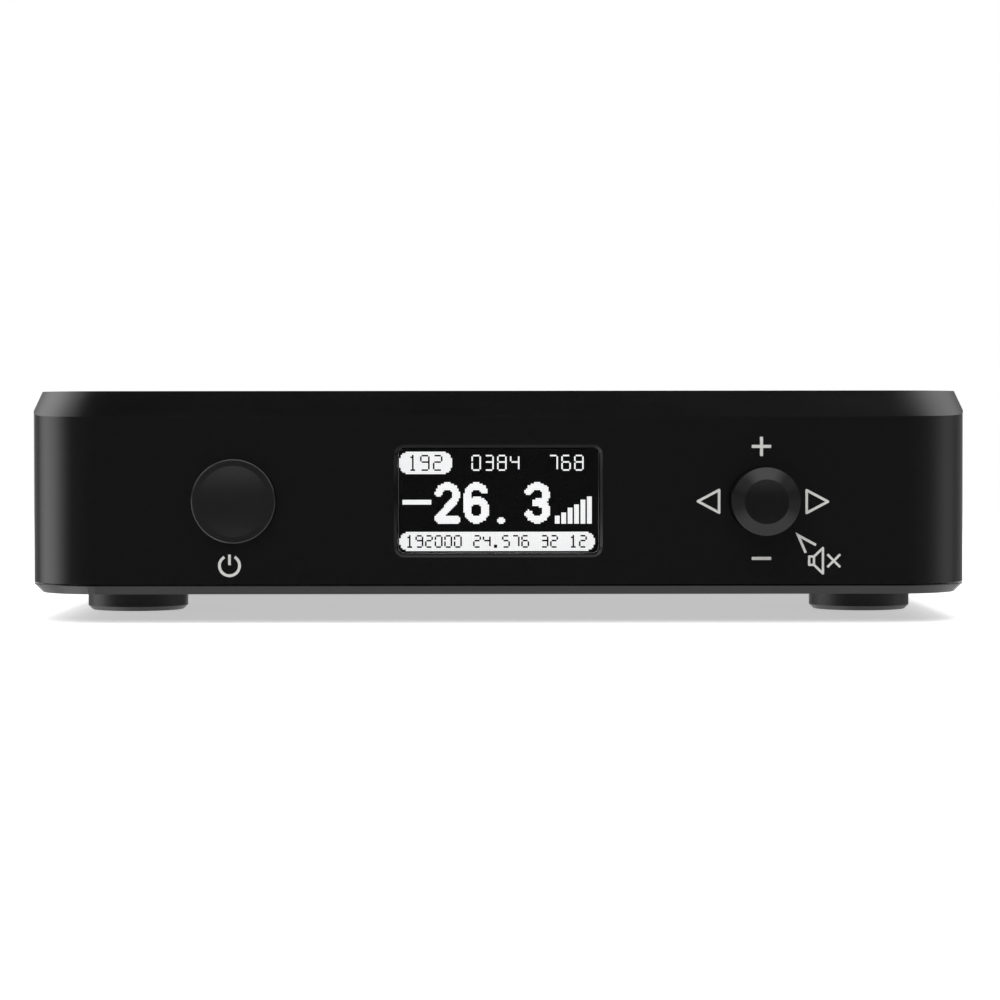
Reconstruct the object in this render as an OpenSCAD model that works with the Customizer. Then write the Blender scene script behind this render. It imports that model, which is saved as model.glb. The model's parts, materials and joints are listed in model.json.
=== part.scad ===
// Compact desktop digital-to-analogue converter with a display, a power button and a joystick knob.
// Millimetres. +X is right seen from the front, the front faces -Y, +Z is up.
// The origin is on the desk, under the middle of the whole object.

/* [Case] */
// Width across the side faces
body_w = 103; // [96:1:130]
// Depth from the front face to the back face
body_d = 135; // [112:1:170]
// Height of the body above its feet
body_h = 22.2; // [21.6:0.1:32]
// Radius of the two front corners
corner_r = 8.4; // [6:0.1:11]
// Radius of the two rear corners
rear_corner_r = 2; // [1:0.1:2.8]
// Height of the sloped front edge of the top
slope_h = 2.85; // [1.5:0.05:3.5]
// Depth of the sloped front edge of the top
slope_d = 9; // [7:0.5:20]
// Radius of the slope's outline round the two front corners
slope_r = 9.6; // [6:0.1:14]
// How far the slope's outline stands out past each side of the body
slope_over = 0.77; // [0:0.01:2]
// Thickness of the side walls
side_t = 3; // [2:0.1:4]
// Thickness of the front wall
front_t = 3; // [2.4:0.1:3.6]
// Thickness of the top
top_t = 2.2; // [1.6:0.1:3]
// Width of the bevel round the bottom cover
chamfer = 0.9; // [0.5:0.1:1.4]
// Thickness of the bottom cover inside the shell
cover_t = 2.2; // [1.8:0.1:3]
// Open seam between the shell and the bottom cover's rim
seam = 0.12; // [0.05:0.01:0.3]

/* [Feet] */
// Radius of a foot
foot_r = 5.85; // [4:0.05:8]
// Height of a foot
foot_h = 3.2; // [2:0.1:6]
// Distance of a foot's centre from the middle, sideways
foot_x = 42.5; // [36:0.5:44]
// Distance of a foot's centre from the front or back face
foot_inset = 30; // [24:1:38]

/* [Front controls] */
// Height of the display and both controls above the body's bottom
control_h = 10.15; // [9.8:0.05:10.6]
// Distance of the button and of the knob from the middle
control_x = 28.7; // [26:0.1:30]
// Radius of the power button
button_r = 4.57; // [4:0.01:5.2]
// How far the power button stands out
button_proud = 0.9; // [0.6:0.1:2]
// Width of the power button's flat rim
button_rim = 0.72; // [0.4:0.02:1]
// Depth of the power button's dished face
dish_depth = 0.42; // [0.2:0.02:0.6]
// Travel of the power button
button_travel = 0.5; // [0.3:0.05:0.6]
// Radius of the joystick knob
knob_r = 3.66; // [3.4:0.02:4.6]
// How far the joystick knob stands out
knob_proud = 5; // [4:0.1:7]
// Width of the knob's 45 degree bevel
knob_bevel = 1.26; // [0.6:0.02:1.6]
// Depth of the joystick knob's sloped edge, from its face
knob_bevel_d = 0.74; // [0.3:0.02:1.6]
// Gap between the back of the knob and the front face
knob_gap = 1.1; // [1.1:0.05:1.8]
// Radius of the knob's neck
neck_r = 1.7; // [1.4:0.05:1.8]
// Radius of the opening for the neck
neck_hole_r = 2.75; // [2.7:0.05:3]
// Radius of the joystick stem
stem_r = 1; // [0.8:0.05:1.1]

/* [Display] */
// Width of the display window
window_w = 22; // [20:0.1:24]
// Height of the display window
window_h = 11.6; // [10:0.1:12]
// Corner radius of the display window
window_r = 0.8; // [0.4:0.05:1.2]
// Bevel round the display window
window_bevel = 0.3; // [0.1:0.05:0.5]
// How far the lens sits behind the front face
lens_recess = 0.35; // [0.3:0.05:0.8]
// How far the display panel reaches past the window at each side
panel_side = 2.35; // [1.7:0.05:3]
// How far the display panel reaches past the window above and below
panel_edge = 1.3; // [1.1:0.05:1.5]

/* [Boards] */
// Thickness of both boards
board_t = 1.6; // [1:0.1:2]
// Distance from the front face to the front board
front_board_y = 9.4; // [9.2:0.1:10]
// Width of the front board
front_board_w = 78; // [76:1:80]
// Height of the front board
front_board_h = 13.6; // [13:0.1:14]
// Space under the main board
standoff_h = 3; // [2.5:0.1:3.4]
// Distance from the front face to the main board
main_board_y = 15; // [14.5:0.5:18]

/* [Rear sockets] */
// Thickness of the rear panel
rear_panel_t = 2; // [1.5:0.1:2.5]
// Distance between two phono jacks
jack_pitch = 14; // [13:0.5:15]
// Free space between the other sockets
socket_gap = 2.4; // [2:0.1:3]
// Outer radius of a phono jack
jack_r = 4.15; // [4.1:0.01:4.2]
// Radius of a phono jack's centre bore
contact_bore_r = 1.6; // [1.58:0.01:1.65]
// How far a phono jack stands out
jack_proud = 8.5; // [7.5:0.1:10]
// Width and height of a phono jack's block
jack_block = 10; // [9.6:0.1:10.6]
// Radius of the supply jack's opening
supply_r = 3.15; // [3:0.05:3.3]
// Radius of the supply jack's centre pin
supply_pin_r = 1.05; // [0.8:0.05:1.25]
// Inner width of the data socket
data_w = 8.5; // [8.4:0.05:8.7]
// Inner height of the data socket
data_h = 7.8; // [7.7:0.05:8]
// Inner width and height of the optical socket
optical_in = 7.6; // [7.4:0.1:8]

/* [Fits] */
// Clearance of a lens, a panel or a socket in its opening
fit_gap = 0.1; // [0.05:0.01:0.15]
// Radial clearance of the power button in its hole
slide_gap = 0.08; // [0.04:0.01:0.12]
// Radial clearance of a hinge pin in its bore
pin_gap = 0.05; // [0.03:0.01:0.08]
// Radial clearance of a screw in its hole
screw_gap = 0.06; // [0.03:0.01:0.1]
// Clearance of a piece that is pressed or moulded into another
press_gap = 0.02; // [0.01:0.01:0.03]

/* [Hidden] */
$fn = 64;

// Depths: everything is measured from the front face or from the back face
front_y = -(body_d + jack_proud - knob_proud) / 2;
rear_y = front_y + body_d;
wall_in_y = front_y + front_t;
panel_in_y = rear_y - rear_panel_t;

// Thickness of the slices that a bevel is stretched between
skin = 0.01;

// Heights
rim_land = 0.1;
rim_h = chamfer + rim_land;
shell_z = foot_h + rim_h + seam;
cover_z = foot_h + cover_t;
top_z = foot_h + body_h;
ceiling_z = top_z - top_t;
control_z = foot_h + control_h;
board_top_z = cover_z + standoff_h + board_t;

// Shell
inner_w = body_w - 2 * side_t;
post_r = 3;
post_x = inner_w / 2 - post_r - 1;
post_y = 9;
block_w = 8;
block_d = 13;
boss_r = 2.2;
boss_x = front_board_w / 2 - boss_r - 0.3;
boss_dz = front_board_h / 2 - boss_r;

// Screws: radius of the shaft, radius of the head and length
cover_screw_r = 1.45;
cover_head_r = 2.7;
cover_screw_len = 9;
rear_cover_screw_y = 9.1;
small_screw_r = 0.95;
small_head_r = 1.8;
rear_head_r = 2.1;
rear_screw_len = 6;
small_screw_len = 4;
rear_screw_dz = 6.2;
rear_screw_z = (shell_z + ceiling_z) / 2;

// Display stack, as distances from the front face
lens_flange_t = 0.6;
lens_flange = 1.3;
gasket_t = 0.4;
gasket_lap = 1.5;
display_t = 1.45;
panel_w = window_w + 2 * panel_side;
panel_h = window_h + 2 * panel_edge;
gasket_y = front_t + lens_flange_t;
display_y = gasket_y + gasket_t;
pad_y = display_y + display_t;
ribbon_t = 0.2;

// Power button, as distances from the front face
button_flange_r = button_r + 0.8;
button_flange_y = front_t + 0.1;
button_flange_t = 0.7;
button_boss_r = 1.6;
button_boss_y = button_flange_y + button_flange_t + 0.7;
edge_break = 0.12;
switch_w = 6;
switch_y = button_boss_y + 1.3;
plunger_r = 1.5;
plunger_in = 1.4;
dish_r = button_r - button_rim;

// Joystick, as distances from the front face
joystick_w = 10;
joystick_y = 4.9;
joystick_plate_t = 0.3;
joystick_floor = 0.4;
joystick_pivot_y = (joystick_y + front_board_y) / 2;
rocker_r = 2.2;
ring_in_r = rocker_r + 0.25;
ring_out_r = ring_in_r + 0.95;
ring_t = 1.6;
cavity_r = ring_out_r + 0.35;
tilt_pin_r = 0.5;
tilt_pin_in = 0.8;
tilt_bore_len = cavity_r + tilt_pin_in + 0.2;
neck_end_y = 1.2;
stem_end_y = front_board_y - joystick_floor - 0.55;
stem_bore_y = 1.2;
stem_start_y = 1.3;
knob_dish = 0.2;

// Main board
board_w = inner_w - 4;
board_front_y = front_y + main_board_y;
board_rear_y = panel_in_y - 0.4;
board_d = board_rear_y - board_front_y;
board_mid_y = (board_front_y + board_rear_y) / 2;
notch_w = (board_w - 2 * (inner_w / 2 - block_w)) / 2 + 1;
notch_d = block_d + 0.8;
standoff_r = 2.3;
standoff_x = board_w / 2 - 5;
standoff_inset = 21;

// Headers and the ribbon between the boards
header_w = 15;
header_d = 3;
header_h = 3;
header_z = control_z - 2.5;
header_gap = 2;
board_ribbon_t = 0.4;

// Rear sockets
jack_block_d = 11;
jack_flange_r = 5.3;
jack_flange_t = 1.5;
jack_wall = 0.85;
jack_tail = 2;
contact_wall = 0.5;
contact_recess = 0.8;
insulator_recess = 0.4;
contact_len = 9;
supply_w = 9;
supply_h = 10.8;
supply_d = 13;
supply_depth = 9.5;
supply_nose_r = 4.3;
supply_nose = 0.4;
supply_pin_recess = 0.6;
data_wall = 0.4;
data_rim = 1.35;
data_out_w = data_w + 2 * (data_rim + data_wall);
data_out_h = data_h + 2 * (data_rim + data_wall);
data_len = 16;
data_depth = 9;
data_proud = 0.6;
data_corner = 1.6;
optical_wall = 1.1;
optical_head = 2.2;
optical_w = optical_in + 2 * optical_wall;
optical_h = optical_in + optical_wall + optical_head + 0.3;
optical_len = 14;
optical_depth = 10;
optical_proud = 1.7;
optical_lip = 0.5;

// Places of the rear sockets, from +X to -X, as a row in the middle of the panel
row_w = 2 * jack_flange_r + 2 * jack_pitch + optical_w + data_out_w + supply_w + 3 * socket_gap;
right_jack_x = row_w / 2 - jack_flange_r;
left_jack_x = right_jack_x - jack_pitch;
coaxial_x = left_jack_x - jack_pitch;
optical_x = coaxial_x - jack_flange_r - socket_gap - optical_w / 2;
data_x = optical_x - optical_w / 2 - socket_gap - data_out_w / 2;
supply_x = data_x - data_out_w / 2 - socket_gap - supply_w / 2;
jack_z = board_top_z + jack_block / 2;
supply_z = board_top_z + supply_h / 2;
data_z = board_top_z + data_out_h / 2;
optical_z = board_top_z + optical_wall + optical_in / 2;

// Optical shutter
shutter_t = 0.8;
shutter_gap = 0.2;
shutter_pin_r = 0.45;
shutter_barrel_r = 0.95;
shutter_pin_z = optical_z + optical_in / 2 + shutter_barrel_r - 0.25;
shutter_pin_y = rear_y + optical_proud - optical_lip - shutter_gap - shutter_barrel_r;

// Draws a (y, z) profile across the width w, centred on x = 0
module across(w) {
    translate([-w / 2, 0, 0])
        rotate([90, 0, 90])
            linear_extrude(w)
                children();
}

// Moves to a point on the front face, with local +Z pointing into the case
module from_front(x, z, depth = 0) {
    translate([x, front_y + depth, z])
        rotate([-90, 0, 0])
            children();
}

// Moves to a point on the back face, with local +Z pointing out of the case
module from_rear(x, z, depth = 0) {
    translate([x, rear_y - depth, z])
        rotate([-90, 0, 0])
            children();
}

// A box given by its centre in x, its lowest y and its lowest z
module block(w, d, h) {
    translate([-w / 2, 0, 0])
        cube([w, d, h]);
}

// Flat rectangle with round corners, centred on the origin
module rounded(w, h, r) {
    square([w - 2 * r, h], center = true);
    square([w, h - 2 * r], center = true);
    for (sx = [-1, 1], sy = [-1, 1])
        translate([sx * (w / 2 - r), sy * (h / 2 - r)])
            circle(r);
}

// Plan of the case, moved in by inset on all sides
module plan(inset) {
    w = body_w - 2 * inset;
    d = body_d - 2 * inset;
    rf = corner_r - inset;
    rr = rear_corner_r - inset;
    translate([0, front_y + inset]) {
        translate([-w / 2, rf])
            square([w, d - rf - rr]);
        translate([-w / 2 + rf, 0])
            square([w - 2 * rf, rf]);
        translate([-w / 2 + rr, d - rr])
            square([w - 2 * rr, rr]);
        for (side = [-1, 1]) {
            translate([side * (w / 2 - rf), rf])
                circle(rf);
            translate([side * (w / 2 - rr), d - rr])
                circle(rr);
        }
    }
}

// Plan of the space inside the shell, moved in by inset, from the front wall to the depth d behind it
module inner_plan(inset, d) {
    w = inner_w - 2 * inset;
    r = corner_r - side_t - inset;
    translate([0, wall_in_y + inset]) {
        translate([-w / 2 + r, 0])
            square([w - 2 * r, r]);
        translate([-w / 2, r])
            square([w, d - r]);
        for (side = [-1, 1])
            translate([side * (w / 2 - r), r])
                circle(r);
    }
}

// Countersunk screw along +Z, its head's flat face at z = 0
module countersunk_screw(shaft_r, head_r, length) {
    difference() {
        union() {
            cylinder(h = head_r - shaft_r, r1 = head_r, r2 = shaft_r);
            cylinder(h = length, r = shaft_r);
        }
        translate([0, 0, -0.1])
            cylinder(h = 0.1 + shaft_r * 0.7, r = shaft_r * 0.7, $fn = 6);
    }
}

// Room for such a screw, with clearance
module countersunk_hole(shaft_r, head_r, length) {
    cone_h = head_r - shaft_r;
    translate([0, 0, -1])
        cylinder(h = 1 + screw_gap, r = head_r + screw_gap);
    translate([0, 0, screw_gap])
        cylinder(h = cone_h, r1 = head_r + screw_gap, r2 = shaft_r + screw_gap);
    cylinder(h = length, r = shaft_r + screw_gap);
}

// Pan-head screw along -Z, the underside of its head at z = 0
module pan_screw(shaft_r, head_r, length) {
    difference() {
        union() {
            cylinder(h = shaft_r, r = head_r);
            translate([0, 0, -length])
                cylinder(h = length + 0.1, r = shaft_r);
        }
        translate([0, 0, shaft_r * 0.4])
            cylinder(h = shaft_r, r = shaft_r * 0.7, $fn = 6);
    }
}

module at_cover_screws() {
    for (side = [-1, 1]) {
        translate([side * post_x, front_y + post_y, foot_h])
            children();
        translate([side * (inner_w - block_w) / 2, panel_in_y - rear_cover_screw_y, foot_h])
            children();
    }
}

module at_rear_screws() {
    for (side = [-1, 1], level = [-1, 1])
        from_rear(side * (inner_w - block_w) / 2, rear_screw_z + level * rear_screw_dz)
            rotate([180, 0, 0])
                children();
}

module at_front_bosses(depth) {
    for (side = [-1, 1], level = [-1, 1])
        from_front(side * boss_x, control_z + level * boss_dz, depth)
            children();
}

module at_standoffs(z) {
    for (side = [-1, 1], y = [board_front_y + standoff_inset, board_rear_y - standoff_inset])
        translate([side * standoff_x, y, z])
            children();
}

// Case

// Outline of the sloped top in plan, its front edge at the depth back behind the front face
module slope_outline(back) {
    hull()
        for (side = [-1, 1], y = [front_y + back + slope_r, rear_y + slope_r])
            translate([side * (body_w / 2 + slope_over - slope_r), y])
                circle(slope_r, $fn = 192);
}

module case_block() {
    intersection() {
        translate([0, 0, shell_z])
            linear_extrude(top_z - shell_z)
                plan(0);
        hull() {
            translate([0, 0, shell_z - 1])
                linear_extrude(skin)
                    slope_outline(-slope_d);
            translate([0, 0, top_z - 2 * slope_h])
                linear_extrude(skin)
                    slope_outline(-slope_d);
            translate([0, 0, top_z])
                linear_extrude(skin)
                    slope_outline(slope_d);
        }
    }
}

module case_cavity() {
    intersection() {
        translate([0, 0, shell_z - 1])
            linear_extrude(body_h)
                inner_plan(0, body_d);
        across(body_w)
            polygon([
                [front_y, shell_z - 1],
                [rear_y + 1, shell_z - 1],
                [rear_y + 1, ceiling_z],
                [front_y + slope_d, ceiling_z],
                [front_y, ceiling_z - slope_h]
            ]);
    }
}

module case_posts() {
    for (side = [-1, 1]) {
        translate([side * post_x, front_y + post_y, cover_z])
            cylinder(h = body_h, r = post_r);
        translate([side * (inner_w - block_w) / 2, panel_in_y - block_d, cover_z])
            block(block_w, block_d, body_h);
    }
    at_front_bosses(front_t - 0.5)
        cylinder(h = front_board_y - front_t + 0.5, r = boss_r);
}

module window_outline(margin) {
    rounded(window_w + 2 * margin, window_h + 2 * margin, window_r + margin);
}

module window_opening() {
    from_front(0, control_z, -1)
        linear_extrude(front_t + 2)
            window_outline(0);
    hull() {
        from_front(0, control_z, -skin)
            linear_extrude(skin)
                window_outline(window_bevel, $fn = 32);
        from_front(0, control_z, window_bevel)
            linear_extrude(skin)
                window_outline(0, $fn = 32);
    }
}

module upper_case() {
    color("#1b1b1d")
        difference() {
            case_block();
            difference() {
                case_cavity();
                case_posts();
            }
            window_opening();
            from_front(-control_x, control_z, -1)
                cylinder(h = front_t + 2, r = button_r + slide_gap);
            from_front(control_x, control_z, -1)
                cylinder(h = front_t + 2, r = neck_hole_r);
            at_front_bosses(front_board_y - small_screw_len)
                cylinder(h = small_screw_len + 1, r = small_screw_r + screw_gap);
            at_cover_screws()
                cylinder(h = cover_screw_len + 1, r = cover_screw_r + screw_gap);
            at_rear_screws()
                cylinder(h = rear_screw_len + 1, r = small_screw_r + screw_gap);
        }
}

module bottom_cover() {
    color("#232325")
        difference() {
            union() {
                hull() {
                    translate([0, 0, foot_h])
                        linear_extrude(skin)
                            plan(chamfer);
                    translate([0, 0, foot_h + chamfer])
                        linear_extrude(rim_land)
                            plan(0);
                }
                translate([0, 0, foot_h + rim_h / 2])
                    linear_extrude(cover_t - rim_h / 2)
                        inner_plan(fit_gap, body_d - front_t - rear_panel_t - 2 * fit_gap);
            }
            at_cover_screws()
                countersunk_hole(cover_screw_r, cover_head_r, cover_t + 1);
        }
}

module rear_panel() {
    panel_z = foot_h + rim_h + fit_gap;
    color("#1e1e20")
        difference() {
            translate([0, panel_in_y, panel_z])
                block(inner_w - 2 * fit_gap, rear_panel_t, ceiling_z - fit_gap - panel_z);
            at_rear_screws()
                countersunk_hole(small_screw_r, rear_head_r, rear_panel_t + 1);
            for (x = [right_jack_x, left_jack_x, coaxial_x])
                from_rear(x, jack_z, rear_panel_t + 1)
                    cylinder(h = rear_panel_t + 2, r = jack_r + fit_gap);
            from_rear(supply_x, supply_z, rear_panel_t + 1)
                cylinder(h = rear_panel_t + 2, r = supply_nose_r + fit_gap);
            translate([data_x, panel_in_y - 1, data_z - data_out_h / 2 - fit_gap])
                block(data_out_w + 2 * fit_gap, rear_panel_t + 2, data_out_h + 2 * fit_gap);
            translate([optical_x, panel_in_y - 1, board_top_z - fit_gap])
                block(optical_w + 2 * fit_gap, rear_panel_t + 2, optical_h + 2 * fit_gap);
        }
}

module foot(side, y) {
    edge = 0.5;
    color("#262626")
        translate([side * foot_x, y, 0])
            rotate_extrude()
                polygon([
                    [0, 0],
                    [foot_r - edge, 0],
                    [foot_r, edge],
                    [foot_r, foot_h],
                    [0, foot_h]
                ]);
}

module bottom_screws() {
    color("#2c2c2e")
        at_cover_screws()
            countersunk_screw(cover_screw_r, cover_head_r, cover_screw_len);
}

module rear_panel_screws() {
    color("#2c2c2e")
        at_rear_screws()
            countersunk_screw(small_screw_r, rear_head_r, rear_screw_len);
}

// Display

module display_window() {
    color("#0b0c0f", 0.6)
        union() {
            from_front(0, control_z, lens_recess)
                linear_extrude(front_t - lens_recess)
                    window_outline(-fit_gap);
            from_front(0, control_z, front_t)
                linear_extrude(lens_flange_t)
                    rounded(window_w + 2 * lens_flange, window_h + 2 * lens_flange, window_r);
        }
}

module display_gasket() {
    color("#101010")
        from_front(0, control_z, gasket_y)
            linear_extrude(gasket_t)
                difference() {
                    square([window_w + 2 * gasket_lap, window_h + 1.2 * gasket_lap], center = true);
                    square([window_w + 0.2, window_h - 0.2], center = true);
                }
}

module display_panel() {
    color("#050608")
        translate([0, front_y + display_y, control_z - panel_h / 2])
            block(panel_w, display_t, panel_h);
}

module display_backing_pad() {
    color("#303030")
        translate([0, front_y + pad_y, control_z - panel_h / 2 + 1])
            block(panel_w - 2, front_board_y - pad_y, panel_h - 2);
}

module display_ribbon() {
    ribbon_w = 12;
    z = control_z - panel_h / 2;
    color("#b46a1c")
        union() {
            translate([0, front_y + pad_y, z + 0.2])
                block(ribbon_w, front_board_y - pad_y, ribbon_t);
            translate([0, front_y + pad_y, z + 0.2])
                block(ribbon_w, ribbon_t, 0.7);
            translate([0, front_y + front_board_y - ribbon_t, z + 0.2])
                block(ribbon_w, ribbon_t, 0.7);
        }
}

// Power button

module power_button_cap() {
    dish_sphere_r = (dish_r * dish_r + dish_depth * dish_depth) / (2 * dish_depth);
    color("#1d1d1f")
        from_front(-control_x, control_z)
            difference() {
                rotate_extrude()
                    polygon([
                        [0, -button_proud],
                        [button_r - edge_break, -button_proud],
                        [button_r, -button_proud + edge_break],
                        [button_r, button_flange_y],
                        [button_flange_r, button_flange_y],
                        [button_flange_r, button_flange_y + button_flange_t],
                        [button_boss_r, button_flange_y + button_flange_t],
                        [button_boss_r, button_boss_y],
                        [0, button_boss_y]
                    ]);
                translate([0, 0, -button_proud + dish_depth - dish_sphere_r])
                    sphere(dish_sphere_r);
            }
}

module power_switch_plunger() {
    color("#d8d8d4")
        from_front(-control_x, control_z, button_boss_y)
            cylinder(h = switch_y - button_boss_y + plunger_in, r = plunger_r);
}

module power_switch_body() {
    color("#2a2a2a")
        difference() {
            translate([-control_x, front_y + switch_y, control_z - switch_w / 2])
                block(switch_w, front_board_y - switch_y, switch_w);
            from_front(-control_x, control_z, switch_y - 1)
                cylinder(h = 1 + plunger_in + button_travel + 0.3, r = plunger_r + 2 * pin_gap);
        }
}

// Joystick

module joystick_knob() {
    face_r = knob_r - knob_bevel;
    dish_sphere_r = (face_r * face_r + knob_dish * knob_dish) / (2 * knob_dish);
    color("#242426")
        from_front(control_x, control_z)
            difference() {
                rotate_extrude()
                    polygon([
                        [0, -knob_proud],
                        [face_r, -knob_proud],
                        [knob_r, -knob_proud + knob_bevel_d],
                        [knob_r, -knob_gap],
                        [neck_r, -knob_gap],
                        [neck_r, neck_end_y],
                        [0, neck_end_y]
                    ]);
                translate([0, 0, -knob_proud + knob_dish - dish_sphere_r])
                    sphere(dish_sphere_r);
                translate([0, 0, -knob_proud + stem_bore_y])
                    cylinder(h = knob_proud + neck_end_y, r = stem_r + press_gap);
            }
}

module joystick_stem() {
    start = -knob_proud + stem_start_y;
    color("#9a9a9c")
        from_front(control_x, control_z, start)
            cylinder(h = stem_end_y - start, r = stem_r);
}

module joystick_rocker() {
    color("#3a3a3c")
        from_front(control_x, control_z, joystick_pivot_y)
            difference() {
                union() {
                    intersection() {
                        sphere(rocker_r);
                        cube([2 * rocker_r, 2 * rocker_r, ring_t], center = true);
                    }
                    rotate([90, 0, 0])
                        cylinder(h = 2 * (ring_in_r + tilt_pin_in), r = tilt_pin_r, center = true);
                }
                cylinder(h = 4 * rocker_r, r = stem_r + pin_gap, center = true);
            }
}

module joystick_gimbal_ring() {
    color("#88888c")
        from_front(control_x, control_z, joystick_pivot_y)
            difference() {
                union() {
                    cylinder(h = ring_t, r = ring_out_r, center = true);
                    rotate([0, 90, 0])
                        cylinder(h = 2 * (cavity_r + tilt_pin_in), r = tilt_pin_r, center = true);
                }
                cylinder(h = ring_t + 2, r = ring_in_r, center = true);
                rotate([90, 0, 0])
                    cylinder(h = 3 * ring_out_r, r = tilt_pin_r + pin_gap, center = true);
            }
}

module joystick_housing() {
    depth = front_board_y - joystick_y;
    color("#202022")
        from_front(control_x, control_z, joystick_y)
            difference() {
                translate([-joystick_w / 2, -joystick_w / 2, 0])
                    cube([joystick_w, joystick_w, depth]);
                translate([0, 0, -1])
                    cylinder(h = depth - joystick_floor + 1, r = cavity_r);
                translate([0, 0, joystick_pivot_y - joystick_y])
                    rotate([0, 90, 0])
                        cylinder(h = 2 * tilt_bore_len, r = tilt_pin_r + pin_gap, center = true);
            }
}

module joystick_cover_plate() {
    color("#b8b8ba")
        from_front(control_x, control_z, joystick_y - joystick_plate_t)
            linear_extrude(joystick_plate_t)
                difference() {
                    square(joystick_w, center = true);
                    circle(neck_hole_r);
                }
}

// Boards

module front_board() {
    color("#14402a")
        difference() {
            translate([0, front_y + front_board_y, control_z - front_board_h / 2])
                block(front_board_w, board_t, front_board_h);
            at_front_bosses(front_board_y - 1)
                cylinder(h = board_t + 2, r = small_screw_r + screw_gap);
        }
}

module front_board_screws() {
    color("#c0c0c0")
        at_front_bosses(front_board_y + board_t)
            pan_screw(small_screw_r, small_head_r, small_screw_len + board_t - 0.3);
}

module board_headers() {
    color("#e8e2d0") {
        translate([0, front_y + front_board_y + board_t, header_z])
            block(header_w, header_d, header_h);
        translate([0, board_front_y + header_gap, board_top_z])
            block(header_w, header_d, header_h);
    }
}

module board_ribbon() {
    start_y = front_y + front_board_y + board_t + header_d;
    end_y = board_front_y + header_gap;
    start_z = header_z + header_h / 2;
    end_z = board_top_z + header_h / 2;
    color("#dcdcdc")
        across(header_w - 2)
            polygon([
                [start_y, start_z],
                [end_y, end_z],
                [end_y, end_z + board_ribbon_t],
                [start_y, start_z + board_ribbon_t]
            ]);
}

module main_board() {
    color("#14402a")
        difference() {
            translate([0, board_front_y, cover_z + standoff_h])
                block(board_w, board_d, board_t);
            for (side = [-1, 1])
                translate([side * (board_w - notch_w + 1) / 2, board_rear_y - notch_d, cover_z])
                    block(notch_w + 1, notch_d + 1, standoff_h + board_t + 1);
            at_standoffs(cover_z)
                cylinder(h = standoff_h + board_t + 1, r = small_screw_r + screw_gap);
        }
}

module board_standoffs() {
    color("#c8a850")
        at_standoffs(cover_z)
            difference() {
                cylinder(h = standoff_h, r = standoff_r, $fn = 6);
                translate([0, 0, -1])
                    cylinder(h = standoff_h + 2, r = small_screw_r + screw_gap);
            }
}

module board_screws() {
    color("#c0c0c0")
        at_standoffs(board_top_z)
            pan_screw(small_screw_r, small_head_r, board_t + standoff_h - 0.5);
}

// Chip of w by d by h on the board at (x, y), with y measured from the middle of the board
module chip(x, y, w, d, h) {
    translate([x, board_mid_y + y - d / 2, board_top_z])
        block(w, d, h);
}

// Parts on the board near its rear edge, with y measured from the back of the board
module near_rear(x, y) {
    translate([x, board_rear_y - y, board_top_z])
        children();
}

module data_receiver_chip() {
    color("#161616")
        chip(-22, 14, 14, 14, 1.4);
}

module controller_chip() {
    color("#161616")
        chip(0, -30, 10, 10, 1.4);
}

module converter_chips() {
    color("#1c1c1c")
        for (x = [18, 32])
            chip(x, 4, 6.2, 9.7, 1.8);
}

module amplifier_chips() {
    color("#1c1c1c")
        for (x = [14, 22, 30, 38])
            chip(x, 17, 4, 5, 1.6);
}

module clock_oscillators() {
    color("#c9c9c4")
        for (x = [-7, 5])
            chip(x, 10, 5, 7, 1.6);
}

module voltage_regulators() {
    color("#1a1a1a")
        for (y = [-26, -14, -2])
            chip(-16, y, 6.5, 6.1, 2.3);
}

module power_inductor() {
    size = 10;
    lift = 0.6;
    color("#3c3c3e")
        translate([-30, board_mid_y - 26, board_top_z])
            difference() {
                union() {
                    block(size, size, lift);
                    translate([0, size / 2, 0])
                        cylinder(h = 5, r = size / 2);
                }
                translate([0, size / 2, 4.2])
                    cylinder(h = 2, r = size / 2 - 1.4);
            }
}

module output_relays() {
    color("#e6e6e2")
        for (x = [left_jack_x, right_jack_x])
            near_rear(x, jack_block_d + 9.5)
                block(10, 6.5, 5.2);
}

module electrolytic_capacitors() {
    can_h = 9.5;
    groove = 0.25;
    color("#2b3550")
        for (spot = [[-34, -6, 4], [-34, 4, 4], [30, -34, 4], [34, -22, 4], [20, -24, 3.15], [12, -10, 3.15]])
            translate([spot[0], board_mid_y + spot[1], board_top_z])
                rotate_extrude()
                    polygon([
                        [0, 0],
                        [spot[2], 0],
                        [spot[2], 1.2],
                        [spot[2] - groove, 1.5],
                        [spot[2], 1.8],
                        [spot[2], can_h - 0.4],
                        [spot[2] - 0.4, can_h],
                        [0, can_h]
                    ]);
}

module film_capacitors() {
    color("#b03a2a")
        for (x = [24, 32, 40], y = [-10, -15])
            chip(x, y, 7.2, 2.5, 6.5);
}

module small_chip_parts() {
    color("#8a7a5c")
        for (x = [-9 : 3 : 12], y = [-18, -6, 22])
            if (!(x > 6 && y == -6))
                chip(x, y, 1.2, 2, 0.8);
}

// Rear sockets

module supply_jack_body() {
    color("#151515")
        difference() {
            union() {
                translate([supply_x, panel_in_y - supply_d, board_top_z])
                    block(supply_w, supply_d, supply_h);
                from_rear(supply_x, supply_z, rear_panel_t + 1)
                    cylinder(h = rear_panel_t + 1 + supply_nose, r = supply_nose_r);
            }
            from_rear(supply_x, supply_z, supply_depth)
                cylinder(h = supply_depth + 1, r = supply_r);
        }
}

module supply_jack_pin() {
    color("#d0d0d0")
        from_rear(supply_x, supply_z, supply_depth)
            cylinder(h = supply_depth - supply_pin_recess, r = supply_pin_r);
}

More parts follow.
